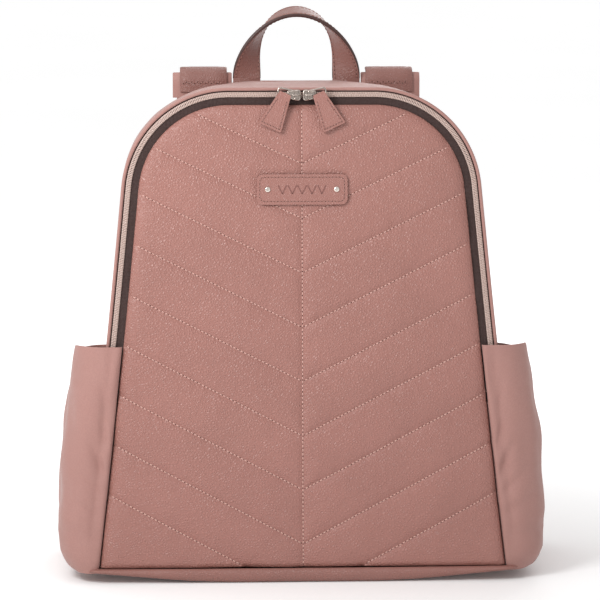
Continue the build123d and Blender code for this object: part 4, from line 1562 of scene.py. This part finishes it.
def build_linings():
    """Thin inner cloth, a little loose, on the sides, the back and the flap."""
    sides = wall(gusset_grid(10.35, 0.3), gusset_grid(9.8, 0.3))
    make("side_cloth", sides, "lining", "bag", ("gusset_lining",), 50)

    low, high = box("back_lining")

    def back_outer(x, z, edge):
        return points_at(x, high[1] - 0.05, z)

    def back_inner(x, z, edge):
        return points_at(x, low[1] - 0.15 + 0.2 * waves(x, z, 70, 71), z)

    shape = sagged(upright_sheet(9.4, BASE_TOP + 0.2, 8, back_inner, back_outer))
    make("back_cloth", shape, "lining", "bag", ("back_lining",), 50)

    def flap_front(x, z, edge):
        return on_front(x, z, 7.95)

    def flap_inside(x, z, edge):
        return on_front(x, z, 8.7 + 0.22 * waves(x, z, 50, 72) * (1 - np.exp(-edge / 6)))

    shape = upright_sheet(5.0, box("flap_lining")[0][2], 7, flap_front, flap_inside)
    make("flap_cloth", shape, "lining", "front_flap", ("flap_lining",), 50)

    profile = [(10.4, 6.95), (10.4, 7.85), (5, 7.9), (0.6, 7.85), (0.6, 6.95), (5, 6.9)]
    rings = arch_sweep(profile, BASE_TOP + 0.2)
    count = int(np.sum(rings[: len(rings) // 2, 0, 2] < box("gusset_facing")[1][2]))
    strips = merge([loft(rings[:count]), loft(rings[-count:])])
    make("facing_strips", strips, "nylon", "bag", ("gusset_facing",), 50)


ORGANISER_SEAMS = (-109.5, -37, 37, 109.5)


def build_organiser():
    """An open pocket on the inside of the back, sewn into three bays."""
    low, high = box("inner_pocket")
    x = np.linspace(ORGANISER_SEAMS[0], ORGANISER_SEAMS[-1], 148)
    share = np.interp(x, ORGANISER_SEAMS, range(4)) % 1
    bay = np.abs(np.sin(pi * share)) ** 0.55

    def sheet(inset):
        rows = []
        for z in np.arange(low[2] + 0.5, high[2], 4):
            fullness = ease(z, low[2] - 6, low[2] + 34) * (0.86 + 0.14 * ease(z, 90, 175))
            ripple = 0.5 * np.sin(x * 2 * pi / 6.5) * ease(z, high[2] - 16, high[2]) * bay
            ripple += 0.35 * waves(x, z, 32, 73) * bay
            y = high[1] - 1.2 - (high[1] - low[1] - 2.4) * bay * fullness + ripple + inset
            rows.append(points_at(x, y, z))
        return np.stack(rows)

    make(
        "organiser", wall(sheet(0.0), sheet(0.9)), "lining", "bag",
        ("inner_pocket",), 50,
    )
    outer = sheet(-0.12)
    rows = [(outer[-2], (0, -1, 0))]
    for seam in ORGANISER_SEAMS[1:3]:
        column = int(np.argmin(np.abs(x - seam)))
        rows.append((outer[:, column], (0, -1, 0)))
    sew("organiser_stitches", rows, "bag", 3.2, 0.35)


build_back()
build_back_pads()
build_linings()
build_organiser()


# ------------------------------------------------------- floor, light, camera
WORLD_STRENGTH = 0.68
FLOOR_GLOW = 0.36
FLOOR_HALF = 40


def build_floor():
    """A pale floor that glows a little, and hardly at all near the bag, so that its shadow shows."""
    g = Graph("floor_white")
    tint = g.blend(g.spread(g.noise(900, 2), 0.3, 0.7), (0.93, 0.93, 0.93), (0.95, 0.95, 0.95))
    reach = g.add("VectorMath", {0: g.place}, operation="LENGTH").outputs["Value"]
    glow = g.spread(reach, 0.2, 0.75, 0.1 * FLOOR_GLOW, FLOOR_GLOW)
    g.feed(g.shader.inputs["Emission Strength"], glow)
    material = g.finish(tint, 0.9, Emission_Color=(1, 1, 1, 1))
    mesh = bpy.data.meshes.new("floor")
    corners = [(x * FLOOR_HALF, y * FLOOR_HALF, 0) for x, y in ((-1, -1), (1, -1), (1, 1), (-1, 1))]
    mesh.from_pydata(corners, [], [(0, 1, 2, 3)])
    mesh.materials.append(material)
    floor = bpy.data.objects.new("floor", mesh)
    SCENE.collection.objects.link(floor)


def add_light(name, place, size, power):
    """A soft square light aimed at the middle of the bag."""
    data = bpy.data.lights.new(name, "AREA")
    data.size = size
    data.energy = power
    light = bpy.data.objects.new(name, data)
    light.location = place
    aim = Vector((0, 0, 0.2)) - light.location
    light.rotation_euler = aim.to_track_quat("-Z", "Y").to_euler()
    SCENE.collection.objects.link(light)


def build_light():
    """A white studio, with a key light on the left, a top light and one behind."""
    world = bpy.data.worlds.new("studio")
    world.use_nodes = True
    ground = world.node_tree.nodes["Background"]
    ground.inputs["Color"].default_value = (1, 1, 1, 1)
    ground.inputs["Strength"].default_value = WORLD_STRENGTH
    SCENE.world = world
    add_light("key", (-0.5, -0.62, 0.74), 0.35, 5.6)
    add_light("top", (-0.3, 0.3, 1.3), 0.8, 3)
    add_light("back", (0.6, 1.6, 1.2), 1.0, 9)
    SCENE.view_settings.view_transform = "Standard"


CAMERA_ELEVATION = 8
CAMERA_DISTANCE = 2.2
CAMERA_AZIMUTH = -2.3
CAMERA_TARGET = Vector((0.0002, 0, 0.217))
CAMERA_LENS = 162.4


def build_camera():
    elevation, azimuth = radians(CAMERA_ELEVATION), radians(CAMERA_AZIMUTH)
    data = bpy.data.cameras.new("camera")
    data.lens = CAMERA_LENS
    data.sensor_width = 36
    camera = bpy.data.objects.new("camera", data)
    level = cos(elevation)
    back = Vector((level * sin(azimuth), -level * cos(azimuth), sin(elevation)))
    camera.location = CAMERA_TARGET + back * CAMERA_DISTANCE
    camera.rotation_euler = (-back).to_track_quat("-Z", "Y").to_euler()
    SCENE.collection.objects.link(camera)
    SCENE.camera = camera


build_floor()
build_light()
build_camera()
